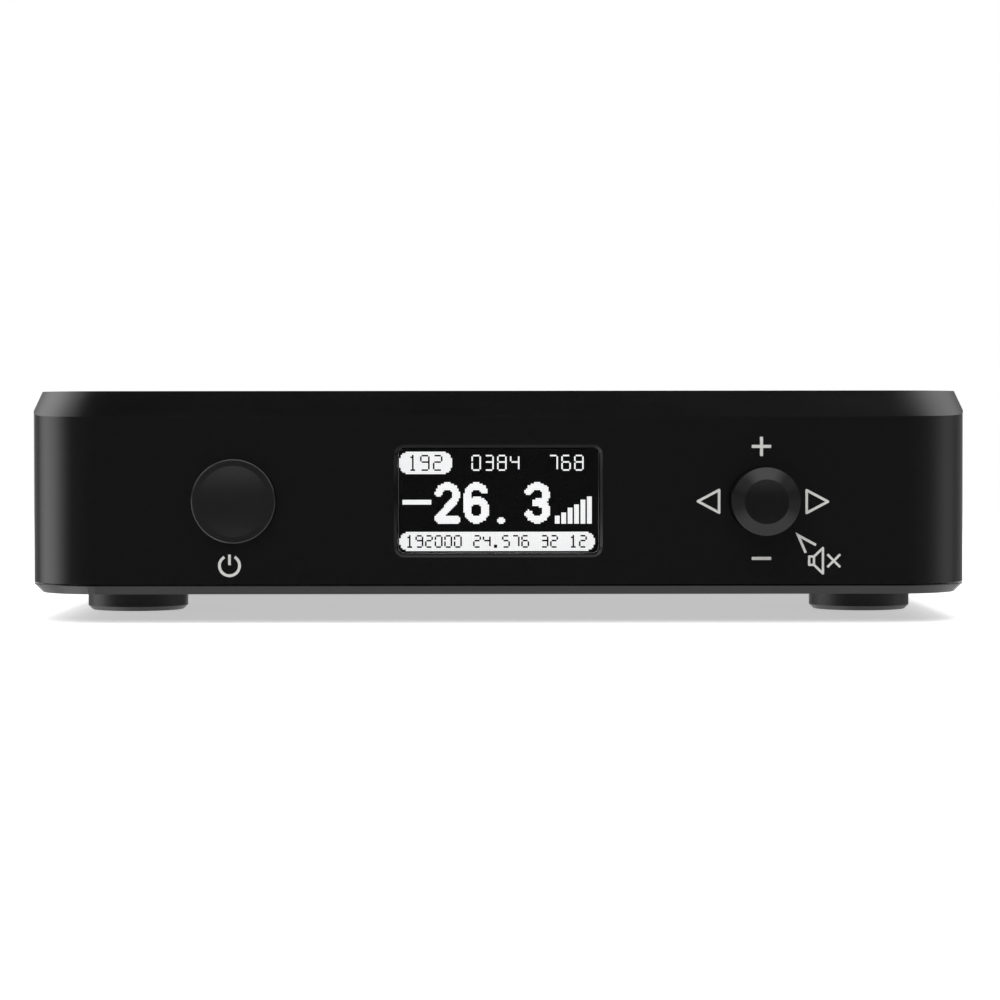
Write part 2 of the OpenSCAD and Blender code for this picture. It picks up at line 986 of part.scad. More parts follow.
module data_socket_shell() {
    color("#b9bbbd")
        difference() {
            translate([data_x, rear_y + data_proud - data_len, data_z - data_out_h / 2])
                block(data_out_w, data_len, data_out_h);
            translate([data_x, rear_y + data_proud - data_len - 1, data_z - data_out_h / 2 + data_wall])
                block(data_out_w - 2 * data_wall, data_len + 2, data_out_h - 2 * data_wall);
        }
}

// Opening of a type B socket: a square with its two upper corners cut
module data_opening() {
    polygon([
        [-data_w / 2, -data_h / 2],
        [data_w / 2, -data_h / 2],
        [data_w / 2, data_h / 2 - data_corner],
        [data_w / 2 - data_corner, data_h / 2],
        [-data_w / 2 + data_corner, data_h / 2],
        [-data_w / 2, data_h / 2 - data_corner]
    ]);
}

module data_socket_insert() {
    w = data_out_w - 2 * (data_wall + press_gap);
    h = data_out_h - 2 * (data_wall + press_gap);
    color("#141414")
        difference() {
            translate([data_x, rear_y + data_proud - data_len, data_z - h / 2])
                block(w, data_len - 0.2, h);
            translate([data_x, rear_y + 2, data_z])
                rotate([90, 0, 0])
                    linear_extrude(data_depth + 2)
                        data_opening();
        }
}

module data_socket_tongue() {
    tongue_w = 5.6;
    tongue_h = 3.2;
    recess = 0.8;
    color("#e4e4e0")
        translate([data_x, rear_y - data_depth, data_z - tongue_h / 2])
            block(tongue_w, data_depth - recess, tongue_h);
}

module optical_socket_body() {
    front = rear_y + optical_proud;
    roof_z = optical_z + optical_in / 2;
    barrel_room = shutter_barrel_r + shutter_gap;
    color("#121212")
        difference() {
            translate([optical_x, front - optical_len, board_top_z])
                block(optical_w, optical_len, optical_h);
            translate([optical_x, front - optical_depth, optical_z - optical_in / 2])
                block(optical_in, optical_depth + 1, optical_in);
            translate([optical_x, front - optical_depth, roof_z - 0.1])
                block(optical_in, optical_depth - optical_lip, shutter_pin_z + barrel_room - roof_z + 0.1);
            translate([optical_x, shutter_pin_y, shutter_pin_z])
                rotate([0, 90, 0])
                    cylinder(h = optical_w + 1, r = shutter_pin_r + pin_gap / 2, center = true);
        }
}

module optical_shutter() {
    flap_z = optical_z - optical_in / 2 + shutter_gap;
    flap_y = rear_y + optical_proud - optical_lip - shutter_gap - shutter_t;
    w = optical_in - 2 * shutter_gap;
    color("#1a1a1a")
        difference() {
            union() {
                translate([optical_x, flap_y, flap_z])
                    block(w, shutter_t, shutter_pin_z - flap_z);
                translate([optical_x, shutter_pin_y, shutter_pin_z])
                    rotate([0, 90, 0])
                        cylinder(h = w, r = shutter_barrel_r, center = true);
            }
            translate([optical_x, shutter_pin_y, shutter_pin_z])
                rotate([0, 90, 0])
                    cylinder(h = w + 1, r = shutter_pin_r + pin_gap, center = true);
        }
}

module optical_shutter_pin() {
    color("#c8c8c8")
        translate([optical_x, shutter_pin_y, shutter_pin_z])
            rotate([0, 90, 0])
                cylinder(h = optical_w - 0.2, r = shutter_pin_r, center = true);
}

module jack_shell(x) {
    inner = jack_r - jack_wall;
    color("#d9b25a")
        from_rear(x, jack_z, rear_panel_t + jack_tail)
            difference() {
                union() {
                    cylinder(h = rear_panel_t + jack_tail + jack_proud, r = jack_r);
                    translate([0, 0, rear_panel_t + jack_tail])
                        cylinder(h = jack_flange_t, r = jack_flange_r);
                }
                translate([0, 0, -1])
                    cylinder(h = rear_panel_t + jack_tail + jack_proud + 2, r = inner);
            }
}

module jack_insulator(x, tone) {
    outer = jack_r - jack_wall - press_gap;
    start = rear_panel_t + jack_tail;
    color(tone)
        from_rear(x, jack_z, start)
            difference() {
                cylinder(h = start + jack_proud - insulator_recess, r = outer);
                translate([0, 0, -1])
                    cylinder(h = start + jack_proud + 1, r = contact_bore_r + contact_wall + press_gap);
            }
}

module jack_contact(x) {
    color("#dcb860")
        translate([x, rear_y + jack_proud - contact_recess, jack_z])
            rotate([90, 0, 0])
                difference() {
                    cylinder(h = contact_len + 1, r = contact_bore_r + contact_wall);
                    translate([0, 0, -1])
                        cylinder(h = contact_len + 1, r = contact_bore_r);
                }
}

module jack_blocks() {
    color("#161616")
        for (x = [right_jack_x, left_jack_x, coaxial_x])
            difference() {
                translate([x, panel_in_y - jack_block_d, board_top_z])
                    block(jack_block, jack_block_d, jack_block);
                from_rear(x, jack_z, rear_panel_t + jack_tail)
                    cylinder(h = jack_tail + 1, r = jack_r + press_gap);
            }
}

upper_case();
bottom_cover();
rear_panel();
foot(-1, front_y + foot_inset);  // foot_front_left
foot(1, front_y + foot_inset);  // foot_front_right
foot(-1, rear_y - foot_inset);  // foot_rear_left
foot(1, rear_y - foot_inset);  // foot_rear_right
bottom_screws();
rear_panel_screws();
display_window();
display_gasket();
display_panel();
display_backing_pad();
display_ribbon();
power_button_cap();
power_switch_plunger();
power_switch_body();
joystick_knob();
joystick_stem();
joystick_rocker();
joystick_gimbal_ring();
joystick_housing();
joystick_cover_plate();
front_board();
front_board_screws();
board_headers();
board_ribbon();
main_board();
board_standoffs();
board_screws();
data_receiver_chip();
controller_chip();
converter_chips();
amplifier_chips();
clock_oscillators();
voltage_regulators();
power_inductor();
output_relays();
electrolytic_capacitors();
film_capacitors();
small_chip_parts();
supply_jack_body();
supply_jack_pin();
data_socket_shell();
data_socket_insert();
data_socket_tongue();
optical_socket_body();
optical_shutter();
optical_shutter_pin();
jack_shell(left_jack_x);  // left_jack_shell
jack_insulator(left_jack_x, "#e9e9e6");  // left_jack_insulator
jack_contact(left_jack_x);  // left_jack_contact
jack_shell(right_jack_x);  // right_jack_shell
jack_insulator(right_jack_x, "#b51f1f");  // right_jack_insulator
jack_contact(right_jack_x);  // right_jack_contact
jack_shell(coaxial_x);  // coaxial_jack_shell
jack_insulator(coaxial_x, "#1d1d1d");  // coaxial_jack_insulator
jack_contact(coaxial_x);  // coaxial_jack_contact
jack_blocks();
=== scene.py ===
"""Looks of the desktop converter: studio, finishes, front print, lit display and the small rear fittings."""
import json
import logging
import math
from dataclasses import dataclass, field
from enum import Enum
from functools import cache, reduce
from typing import Callable, ClassVar, Iterable, Optional, Sequence

import bmesh
import bpy
from mathutils import Matrix, Vector
from mathutils.bvhtree import BVHTree
from mathutils.geometry import tessellate_polygon

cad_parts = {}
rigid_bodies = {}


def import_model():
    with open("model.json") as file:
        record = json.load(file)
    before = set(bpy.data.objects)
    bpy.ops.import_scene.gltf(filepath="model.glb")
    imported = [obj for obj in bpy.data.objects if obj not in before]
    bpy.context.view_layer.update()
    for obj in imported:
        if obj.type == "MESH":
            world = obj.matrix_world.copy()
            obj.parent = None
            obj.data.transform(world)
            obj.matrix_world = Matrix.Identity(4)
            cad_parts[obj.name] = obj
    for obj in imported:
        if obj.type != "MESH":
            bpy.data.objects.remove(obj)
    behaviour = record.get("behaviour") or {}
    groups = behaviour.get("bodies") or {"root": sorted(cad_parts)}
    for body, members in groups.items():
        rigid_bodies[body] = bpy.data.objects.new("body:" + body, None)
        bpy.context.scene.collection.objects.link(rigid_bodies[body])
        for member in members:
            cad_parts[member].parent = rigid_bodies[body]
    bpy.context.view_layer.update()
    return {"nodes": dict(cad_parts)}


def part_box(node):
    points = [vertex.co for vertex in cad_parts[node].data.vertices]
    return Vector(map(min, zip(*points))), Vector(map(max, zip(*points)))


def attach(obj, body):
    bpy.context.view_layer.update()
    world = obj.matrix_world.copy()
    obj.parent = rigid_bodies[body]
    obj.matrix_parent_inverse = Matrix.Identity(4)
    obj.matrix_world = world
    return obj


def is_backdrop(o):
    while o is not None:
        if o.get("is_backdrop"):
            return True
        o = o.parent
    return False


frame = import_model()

log = logging.getLogger("converter")

MM = 0.001
"""One millimetre in the frame's metres."""

CASE = "case"
"""Body that holds everything which stays still."""

PICTURE = (1000.0, 1000.0)
"""Width and height of the photograph's frame, in its own pixels."""

IMAGE_POINTS: dict[str, tuple[Optional[float], Optional[float]]] = {
    "object_left": (35.9, None),
    "object_right": (964.3, None),
    "object_top": (None, 390.4),
    "object_bottom": (None, 611.4),
    "power_button": (232.6, 501.2),
    "joystick_knob": (760.9, 504.5),
    "window": (497.3, 500.9),
    "display_picture": (497.1, 501.2),
    "power_symbol": (229.5, 565.9),
    "plus_symbol": (761.5, 446.4),
    "minus_symbol": (761.5, 558.4),
    "left_arrow_symbol": (708.5, 501.3),
    "right_arrow_symbol": (817.3, 501.6),
    "pointer_symbol": (806.0, 542.9),
    "mute_symbol": (824.5, 560.7),
    "left_front_foot": (137.8, 603.0),
    "right_front_foot": (856.3, 603.0),
}
"""Where things show in the photograph: x, y from its upper left corner, None where only one counts."""

Colour = tuple[float, float, float]
"""Red, green and blue, linear."""

Point2 = tuple[float, float]
Loop2 = list[Point2]

Dots = set[tuple[int, int]]
"""Dots of the display, each a column and a row."""

Span = tuple[float, float]
"""Where a smooth step starts and ends, or a lowest and a highest value."""

Lift = Callable[[float, float, float], Vector]
"""Gives a place in the frame from x, y and the height above what carries it."""

Socket = bpy.types.NodeSocket
Sockets = bpy.types.bpy_prop_collection

NOISE_MIDDLE: Span = (0.3, 0.7)
"""Nearly all values of a noise texture lie between these."""


# ---------------------------------------------------------------- camera and placing


@dataclass
class MainCamera:
    """Camera of the photograph, found from the object's edges and front features.

    Args:
        place: Camera position in millimetres.
        yaw: Turn to the right of straight ahead, in radians.
        pitch: Tilt down from level, in radians.
        roll: Turn about the line of sight, in radians.
        focal: Distance from the lens to the picture plane, in pixels of the photograph.
        sensor: Sensor width in millimetres.
        near_clip: Least distance that it sees, in metres.
        far_clip: Greatest distance that it sees, in metres.
        nearing: Steps taken to the place nearest a ray that misses.
        camera: The camera object, once it is built.
    """

    place: tuple[float, float, float] = (0.0, -410.25, 21.3)
    yaw: float = 0.0005
    pitch: float = 0.023
    roll: float = -0.001
    focal: float = 3146.0
    sensor: float = 36.0
    near_clip: float = 0.01
    far_clip: float = 50.0
    nearing: int = 8
    camera: Optional[bpy.types.Object] = None

    def build(self) -> None:
        """Makes the camera and sets it as the scene's camera."""
        data = bpy.data.cameras.new("main_camera")
        data.sensor_fit = "AUTO"
        data.sensor_width = self.sensor
        data.lens = self.focal * self.sensor / max(PICTURE)
        data.clip_start = self.near_clip
        data.clip_end = self.far_clip
        ahead = Vector((
            math.sin(self.yaw) * math.cos(self.pitch),
            math.cos(self.yaw) * math.cos(self.pitch),
            -math.sin(self.pitch),
        ))
        right = ahead.cross(Vector((0.0, 0.0, 1.0))).normalized()
        up = right.cross(ahead)
        axes = Matrix((right, up, -ahead)).transposed() @ Matrix.Rotation(self.roll, 3, "Z")
        self.camera = bpy.data.objects.new("main_camera", data)
        self.camera.matrix_world = Matrix.Translation(Vector(self.place) * MM) @ axes.to_4x4()
        bpy.context.scene.collection.objects.link(self.camera)
        bpy.context.scene.camera = self.camera

    def ray(self, x: float, y: float) -> tuple[Vector, Vector]:
        """Line of sight through an image point.

        Args:
            x: Distance from the left of the photograph.
            y: Distance from the top of the photograph.

        Returns:
            The camera's place and the unit direction of the ray.
        """
        data = self.camera.data
        width, height = PICTURE
        long_side = max(PICTURE)
        local = Vector((
            x - width / 2 + data.shift_x * long_side,
            height / 2 - y + data.shift_y * long_side,
            -long_side * data.lens / data.sensor_width,
        ))
        turned = self.camera.matrix_world.to_3x3() @ local
        return self.camera.matrix_world.translation.copy(), turned.normalized()

    def seen_at(self, point: Vector) -> Point2:
        """Image point at which a place in the frame shows.

        Args:
            point: The place, in metres.

        Returns:
            x and y from the photograph's upper left corner.
        """
        data = self.camera.data
        long_side = max(PICTURE)
        local = self.camera.matrix_world.inverted() @ point
        scale = long_side * data.lens / data.sensor_width / -local.z
        x = local.x * scale + PICTURE[0] / 2 - data.shift_x * long_side
        y = PICTURE[1] / 2 - local.y * scale + data.shift_y * long_side
        return x, y

    def place_on(self, carrier: bpy.types.Object, point: Point2) -> tuple[Vector, Vector]:
        """Place on a finished carrier that shows at an image point.

        Args:
            carrier: The piece that carries what is placed.
            point: The image point.

        Returns:
            The place and the carrier's outward normal there; for a miss, the place nearest the ray.
        """
        tree = BVHTree.FromObject(carrier, bpy.context.evaluated_depsgraph_get())
        to_world = carrier.matrix_world
        to_local = to_world.inverted()
        origin, direction = self.ray(*point)
        start = to_local @ origin
        along = (to_local.to_3x3() @ direction).normalized()
        hit, normal, _, _ = tree.ray_cast(start, along)
        if hit is None:
            reach = (to_local @ Vector((0.0, 0.0, 0.0)) - start).dot(along)
            for _ in range(self.nearing):
                hit, normal, _, _ = tree.find_nearest(start + along * reach)
                reach = (hit - start).dot(along)
        return to_world @ hit, (to_world.to_3x3() @ normal).normalized()


# ---------------------------------------------------------------- flat outlines


class Join(Enum):
    """How the outside of a stroke's corner is drawn."""

    ROUND = "round"
    SHARP = "sharp"


@dataclass(frozen=True)
class Stroke:
    """Line of even width along points, in the flat, with square ends where it is open.

    Args:
        points: Middle line of the stroke.
        width: Width of the stroke.
        closed: True where the last point leads back to the first.
        join: Form of the corners.
    """

    points: Sequence[Point2]
    width: float
    closed: bool = False
    join: Join = Join.ROUND

    def region(self) -> list[Loop2]:
        """Outline of the stroke.

        Returns:
            Its outer loop, and after it the hole of a closed stroke.
        """
        half = self.width / 2
        if self.closed:
            loops = [shifted(self.points, side, True, self.join) for side in (half, -half)]
            return sorted(loops, key=lambda loop: -abs(loop_area(loop)))
        back = list(reversed(self.points))
        return [shifted(self.points, half, False, self.join) + shifted(back, half, False, self.join)]


def polar(centre: Point2, radius: float, angle: float) -> Point2:
    """Point at an angle and distance from a centre.

    Args:
        centre: The centre.
        radius: Distance from it.
        angle: Angle from the x axis, in radians.

    Returns:
        The point.
    """
    return centre[0] + radius * math.cos(angle), centre[1] + radius * math.sin(angle)


def arc(centre: Point2, radius: Point2, start: float, end: float, steps: int = 24) -> Loop2:
    """Points along part of an ellipse.

    Args:
        centre: Its centre.
        radius: Its two half-widths.
        start: First angle, in degrees from the x axis.
        end: Last angle, in degrees.
        steps: Number of stretches.

    Returns:
        The points, from start to end.
    """
    points = []
    for k in range(steps + 1):
        angle = math.radians(start + (end - start) * k / steps)
        points.append((centre[0] + radius[0] * math.cos(angle), centre[1] + radius[1] * math.sin(angle)))
    return points


def loop_area(loop: Loop2) -> float:
    """Signed area inside a closed loop.

    Args:
        loop: Its points.

    Returns:
        The area, above zero where the loop runs counter-clockwise.
    """
    return sum(a[0] * b[1] - b[0] * a[1] for a, b in zip(loop, loop[1:] + loop[:1])) / 2


ARC_BELOW = 0.9
"""Cosine of a corner's turn below which its round outside is drawn as an arc."""

ARC_STEP = 0.3
"""Most radians that a stretch of such an arc turns through."""

SHARPEST = 0.05
"""Least divisor at a sharp corner, which keeps a very sharp one from reaching far out."""


def shifted(points: Sequence[Point2], distance: float, closed: bool, join: Join) -> Loop2:
    """Line moved to its left.

    Args:
        points: The line's points.
        distance: How far it moves; below zero moves it to its right.
        closed: True where the line is a loop.
        join: Form of corners that open outwards.

    Returns:
        The moved line's points.
    """
    count = len(points)
    moved: Loop2 = []
    for k, point in enumerate(points):
        before = points[k - 1] if closed or k > 0 else None
        after = points[(k + 1) % count] if closed or k < count - 1 else None
        into = unit(before, point) if before else unit(point, after)
        out = unit(point, after) if after else into
        normal_in = (-into[1], into[0])
        normal_out = (-out[1], out[0])
        cross = into[0] * out[1] - into[1] * out[0]
        dot = into[0] * out[0] + into[1] * out[1]
        if join is Join.ROUND and cross * distance < 0 and dot < ARC_BELOW:
            first = math.atan2(normal_in[1] * distance, normal_in[0] * distance)
            turn = math.atan2(cross, dot)
            steps = max(2, int(abs(turn) / ARC_STEP))
            moved += [polar(point, abs(distance), first + turn * s / steps) for s in range(steps + 1)]
        else:
            reach = distance / max(SHARPEST, 1 + dot)
            moved.append((
                point[0] + (normal_in[0] + normal_out[0]) * reach,
                point[1] + (normal_in[1] + normal_out[1]) * reach,
            ))
    return moved


def unit(a: Point2, b: Point2) -> Point2:
    """Direction of length one from a to b."""
    length = math.hypot(b[0] - a[0], b[1] - a[1])
    return (b[0] - a[0]) / length, (b[1] - a[1]) / length


def plus_outline(reach: float, width: float, turn: float = 0.0) -> Loop2:
    """Outline of a plus sign, or of a cross where it is turned.

    Args:
        reach: Length of an arm from the middle.
        width: Width of an arm.
        turn: Turn in radians.

    Returns:
        The closed outline.
    """
    half = width / 2
    corner = [(reach, -half), (reach, half), (half, half)]
    loop: Loop2 = []
    for quarter in range(4):
        angle = turn + quarter * math.pi / 2
        cos, sin = math.cos(angle), math.sin(angle)
        loop += [(x * cos - y * sin, x * sin + y * cos) for x, y in corner]
    return loop


# ---------------------------------------------------------------- solid meshes


def add_prism(mesh: bmesh.types.BMesh, region: list[Loop2], lift: Lift, thickness: float) -> None:
    """Adds a closed flat solid with the outline of a region.

    Args:
        mesh: The mesh that takes it.
        region: Outer loop and holes, in the flat.
        lift: Gives the place of (x, y, height above the carrier).
        thickness: Height of the solid.
    """
    rings = []
    for loop in region:
        low = [mesh.verts.new(lift(x, y, 0.0)) for x, y in loop]
        high = [mesh.verts.new(lift(x, y, thickness)) for x, y in loop]
        rings.append((low, high))
        for k in range(len(loop)):
            n = (k + 1) % len(loop)
            mesh.faces.new((low[k], low[n], high[n], high[k]))
    lows = [vert for low, _ in rings for vert in low]
    highs = [vert for _, high in rings for vert in high]
    for a, b, c in tessellate_polygon([[Vector((x, y, 0.0)) for x, y in loop] for loop in region]):
        mesh.faces.new((highs[a], highs[b], highs[c]))
        mesh.faces.new((lows[c], lows[b], lows[a]))


def add_box(mesh: bmesh.types.BMesh, low: Vector, high: Vector, edge: float = 0.0) -> None:
    """Adds a closed box, its edges cut off where an edge width is given.

    Args:
        mesh: The mesh that takes it.
        low: Lowest corner.
        high: Highest corner.
        edge: Width of the cut along each edge.
    """
    place = Matrix.Translation((low + high) / 2) @ Matrix.Diagonal((*(high - low), 1.0))
    made = bmesh.ops.create_cube(mesh, size=1.0, matrix=place)
    if edge > 0:
        edges = list({e for vert in made["verts"] for e in vert.link_edges})
        bmesh.ops.bevel(mesh, geom=edges, offset=edge, segments=2, profile=0.5, affect="EDGES")


def add_turned(mesh: bmesh.types.BMesh, profile: Sequence[Point2], lift: Lift, steps: int = 48) -> None:
    """Adds a closed turned solid.

    Args:
        mesh: The mesh that takes it.
        profile: (radius, height) points of a closed half section.
        lift: Gives the place of (x, y, height).
        steps: Number of steps round the axis.
    """
    rings = []
    for k in range(steps):
        angle = 2 * math.pi * k / steps
        rings.append([mesh.verts.new(lift(r * math.cos(angle), r * math.sin(angle), h)) for r, h in profile])
    for k in range(steps):
        one, two = rings[k], rings[(k + 1) % steps]
        for p in range(len(profile)):
            q = (p + 1) % len(profile)
            mesh.faces.new((one[p], two[p], two[q], one[q]))


def finished_piece(name: str, mesh: bmesh.types.BMesh, material: bpy.types.Material, body: str) -> None:
    """Turns a mesh into a piece that rides on a body.

    Args:
        name: Name of the piece.
        mesh: Its mesh, which is used up.
        material: Its finish.
        body: The body it rides on.
    """
    bmesh.ops.recalc_face_normals(mesh, faces=mesh.faces)
    data = bpy.data.meshes.new(name)
    mesh.to_mesh(data)
    mesh.free()
    data.materials.append(material)
    piece = bpy.data.objects.new(name, data)
    bpy.context.scene.collection.objects.link(piece)
    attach(piece, body)
    log.info("%s: %d faces on %s", name, len(data.polygons), body)


# ---------------------------------------------------------------- node work


class Nodes:
    """Builds one node tree in code."""

    def __init__(self, tree: bpy.types.NodeTree) -> None:
        """Empties the tree and keeps it."""
        self.tree = tree
        self.tree.nodes.clear()

    def add(self, kind: str, **settings: object) -> bpy.types.Node:
        """Adds a shader node.

        Args:
            kind: Type name of the node, without the first part that they all share.
            settings: Properties of the node to set.

        Returns:
            The node.
        """
        node = self.tree.nodes.new(f"ShaderNode{kind}")
        for key, value in settings.items():
            setattr(node, key, value)
        return node

    def feed(self, socket: bpy.types.NodeSocket, value: object) -> None:
        """Links an output to an input, or sets the input where value is a number or colour.

        Args:
            socket: The input.
            value: An output socket, a number, a vector or a colour.
        """
        if isinstance(value, bpy.types.NodeSocket):
            self.tree.links.new(value, socket)
        elif isinstance(value, tuple) and len(value) == 3 and socket.type == "RGBA":
            socket.default_value = (*value, 1.0)
        else:
            socket.default_value = value

    def fill(self, node: bpy.types.Node, values: dict[object, object]) -> bpy.types.Node:
        """Feeds several inputs of a node.

        Args:
            node: The node.
            values: What goes into its inputs, by their names or numbers.

        Returns:
            The node.
        """
        for key, value in values.items():
            self.feed(node.inputs[key], value)
        return node

    def math(self, operation: str, *values: object, clamp: bool = False) -> Socket:
        """Output of a Math node.

        Args:
            operation: What it does.
            values: Its inputs, in order.
            clamp: True to keep the result between 0 and 1.

        Returns:
            The output socket.
        """
        node = self.add("Math", operation=operation, use_clamp=clamp)
        return self.fill(node, dict(enumerate(values))).outputs[0]

    def chain(self, operation: str, *values: object) -> Socket:
        """One operation done on all values in turn, such as their sum, product or highest.

        Args:
            operation: What it does.
            values: The values.

        Returns:
            The output socket.
        """
        return reduce(lambda one, two: self.math(operation, one, two), values)

    def vector(self, operation: str, *values: object) -> Socket:
        """Output of a Vector Math node.

        Args:
            operation: What it does.
            values: Its inputs, in order.

        Returns:
            The output socket, a number for a dot product or a length and a vector for all else.
        """
        node = self.fill(self.add("VectorMath", operation=operation), dict(enumerate(values)))
        return node.outputs["Value" if operation in ("DOT_PRODUCT", "LENGTH") else "Vector"]

    def ramp(self, value: object, low: object, high: object, to_low: object = 0.0,
             to_high: object = 1.0) -> Socket:
        """Smooth step of a value from one level to another.

        Args:
            value: What is mapped.
            low: Where the step starts.
            high: Where it ends.
            to_low: Result at and before the start.
            to_high: Result at and after the end.

        Returns:
            The output socket.
        """
        node = self.add("MapRange", interpolation_type="SMOOTHSTEP")
        return self.fill(node, dict(enumerate((value, low, high, to_low, to_high)))).outputs[0]

    def mix(self, factor: object, a: object, b: object) -> Socket:
        """Colour between a and b.

        Args:
            factor: 0 for a, 1 for b.
            a: First colour.
            b: Second colour.

        Returns:
            The output socket.
        """
        node = self.add("Mix", data_type="RGBA", clamp_factor=True)
        return self.fill(node, {0: factor, 6: a, 7: b}).outputs[2]

    def noise(self, coordinates: object, scale: object, detail: float = 2.0) -> Socket:
        """Value of a noise texture.

        Args:
            coordinates: Where it is read.
            scale: Its scale, in cells per metre.
            detail: Its fineness.

        Returns:
            The output socket.
        """
        values = {"Vector": coordinates, "Scale": scale, "Detail": detail}
        return self.fill(self.add("TexNoise"), values).outputs[0]

    def where(self) -> Socket:
        """Place on the object, in metres."""
        return self.add("TexCoord").outputs["Object"]

    def off_axis(self, centre: object) -> Socket:
        """Distance from an axis along y.

        Args:
            centre: A point of the axis.

        Returns:
            The output socket.
        """
        away = self.vector("SUBTRACT", self.where(), centre)
        return self.vector("LENGTH", self.vector("MULTIPLY", away, (1.0, 0.0, 1.0)))

    def bump(self, height: object) -> bpy.types.Node:
        """A Bump node whose height is in metres."""
        return self.fill(self.add("Bump"), {"Distance": 1.0, "Height": height})

    def group(self, tree: bpy.types.NodeTree, **values: object) -> bpy.types.Node:
        """Places a shared effect.

        Args:
            tree: The effect.
            values: Its inputs by name.

        Returns:
            The group node.
        """
        return self.fill(self.add("Group", node_tree=tree), values)


class Effects:
    """Shared effects, each a node group that is built the first time it is asked for."""

    @staticmethod
    def start(name: str, takes: Sequence[str], gives: Sequence[str], vectors: Sequence[str] = (),
              normals: Sequence[str] = ()) -> tuple[Nodes, Sockets, Sockets]:
        """Begins a group.

        Args:
            name: Name of the effect.
            takes: Names of its number inputs.
            gives: Names of its number outputs.
            vectors: Names of its vector inputs.
            normals: Names of its normal outputs.

        Returns:
            The node builder, what the group is given and what it puts out, both by name.
        """
        tree = bpy.data.node_groups.new(name, "ShaderNodeTree")
        rows = ((takes, "INPUT", "Float"), (vectors, "INPUT", "Vector"),
                (gives, "OUTPUT", "Float"), (normals, "OUTPUT", "Vector"))
        for names, side, kind in rows:
            for entry in names:
                tree.interface.new_socket(name=entry, in_out=side, socket_type=f"NodeSocket{kind}")
        nodes = Nodes(tree)
        given = tree.nodes.new("NodeGroupInput")
        result = tree.nodes.new("NodeGroupOutput")
        return nodes, given.outputs, result.inputs

    @staticmethod
    @cache
    def grain() -> bpy.types.NodeTree:
        """Fine even grain: blasted metal, moulded plastic, ink.

        Returns:
            The group, which puts out Height and Tone.
        """
        nodes, given, result = Effects.start("fine_grain", ("Scale", "Depth"), ("Height", "Tone"))
        value = nodes.noise(nodes.where(), given["Scale"], detail=3.0)
        nodes.feed(result["Height"], nodes.chain("MULTIPLY", value, given["Depth"]))
        nodes.feed(result["Tone"], nodes.ramp(value, *NOISE_MIDDLE))
        return nodes.tree

    @staticmethod
    @cache
    def drift() -> bpy.types.NodeTree:
        """Slow change over the surface, as handling and plating leave it.

        Returns:
            The group, which puts out Value.
        """
        nodes, given, result = Effects.start("slow_drift", ("Scale", "Low", "High"), ("Value",))
        value = nodes.noise(nodes.where(), given["Scale"], detail=4.0)
        nodes.feed(result["Value"], nodes.ramp(value, *NOISE_MIDDLE, given["Low"], given["High"]))
        return nodes.tree

    @staticmethod
    @cache
    def edges() -> bpy.types.NodeTree:
        """Wear and painted edge highlight: lighter colour where a rounded normal leaves the true one, broken
        up by noise.

        Returns:
            The group, which puts out Mask.
        """
        nodes, given, result = Effects.start("edge_wear_and_highlight", ("Radius", "Amount"), ("Mask",))
        rounded = nodes.fill(nodes.add("Bevel", samples=4), {"Radius": given["Radius"]}).outputs["Normal"]
        true = nodes.add("NewGeometry").outputs["Normal"]
        agree = nodes.vector("DOT_PRODUCT", rounded, true)
        edge = nodes.ramp(nodes.math("SUBTRACT", 1.0, agree), low=0.01, high=0.12)
        patches = nodes.noise(nodes.where(), scale=900.0, detail=4.0)
        wear_and_highlight_edge = nodes.chain("MULTIPLY", edge, nodes.ramp(patches, low=0.35, high=0.6, to_low=0.25))
        nodes.feed(result["Mask"], nodes.math("MULTIPLY", wear_and_highlight_edge, given["Amount"], clamp=True))
        return nodes.tree

    @staticmethod
    @cache
    def dust() -> bpy.types.NodeTree:
        """A little dust on what faces up, as specks and a thin film.

        Returns:
            The group, which puts out Mask.
        """
        nodes, given, result = Effects.start("settled_dust", ("Amount",), ("Mask",))
        up = nodes.vector("DOT_PRODUCT", nodes.add("NewGeometry").outputs["Normal"], (0.0, 0.0, 1.0))
        where = nodes.where()
        fine = nodes.noise(where, scale=2600.0, detail=6.0)
        coarse = nodes.noise(where, scale=60.0, detail=5.0)
        specks = nodes.ramp(fine, low=0.58, high=0.74)
        film = nodes.ramp(coarse, low=0.4, high=0.7, to_low=0.2, to_high=0.6)
        lies = nodes.ramp(up, low=0.35, high=1.0)
        fall = nodes.chain("MULTIPLY", lies, nodes.math("ADD", specks, film))
        nodes.feed(result["Mask"], nodes.math("MULTIPLY", fall, given["Amount"], clamp=True))
        return nodes.tree

    @staticmethod
    @cache
    def turned() -> bpy.types.NodeTree:
        """Fine rings that a lathe leaves round an axis along y, fading close to it.

        Returns:
            The group, which puts out Height.
        """
        nodes, given, result = Effects.start("turned_rings", ("Pitch", "Depth"), ("Height",), ("Centre",))
        radius = nodes.off_axis(given["Centre"])
        wave = nodes.math("SINE", nodes.math("DIVIDE", radius, given["Pitch"]))
        rough = nodes.math("ADD", wave, nodes.noise(nodes.where(), scale=500.0, detail=1.0))
        clear = nodes.ramp(radius, low=2e-4, high=1.6e-3)
        nodes.feed(result["Height"], nodes.chain("MULTIPLY", rough, given["Depth"], clear))
        return nodes.tree

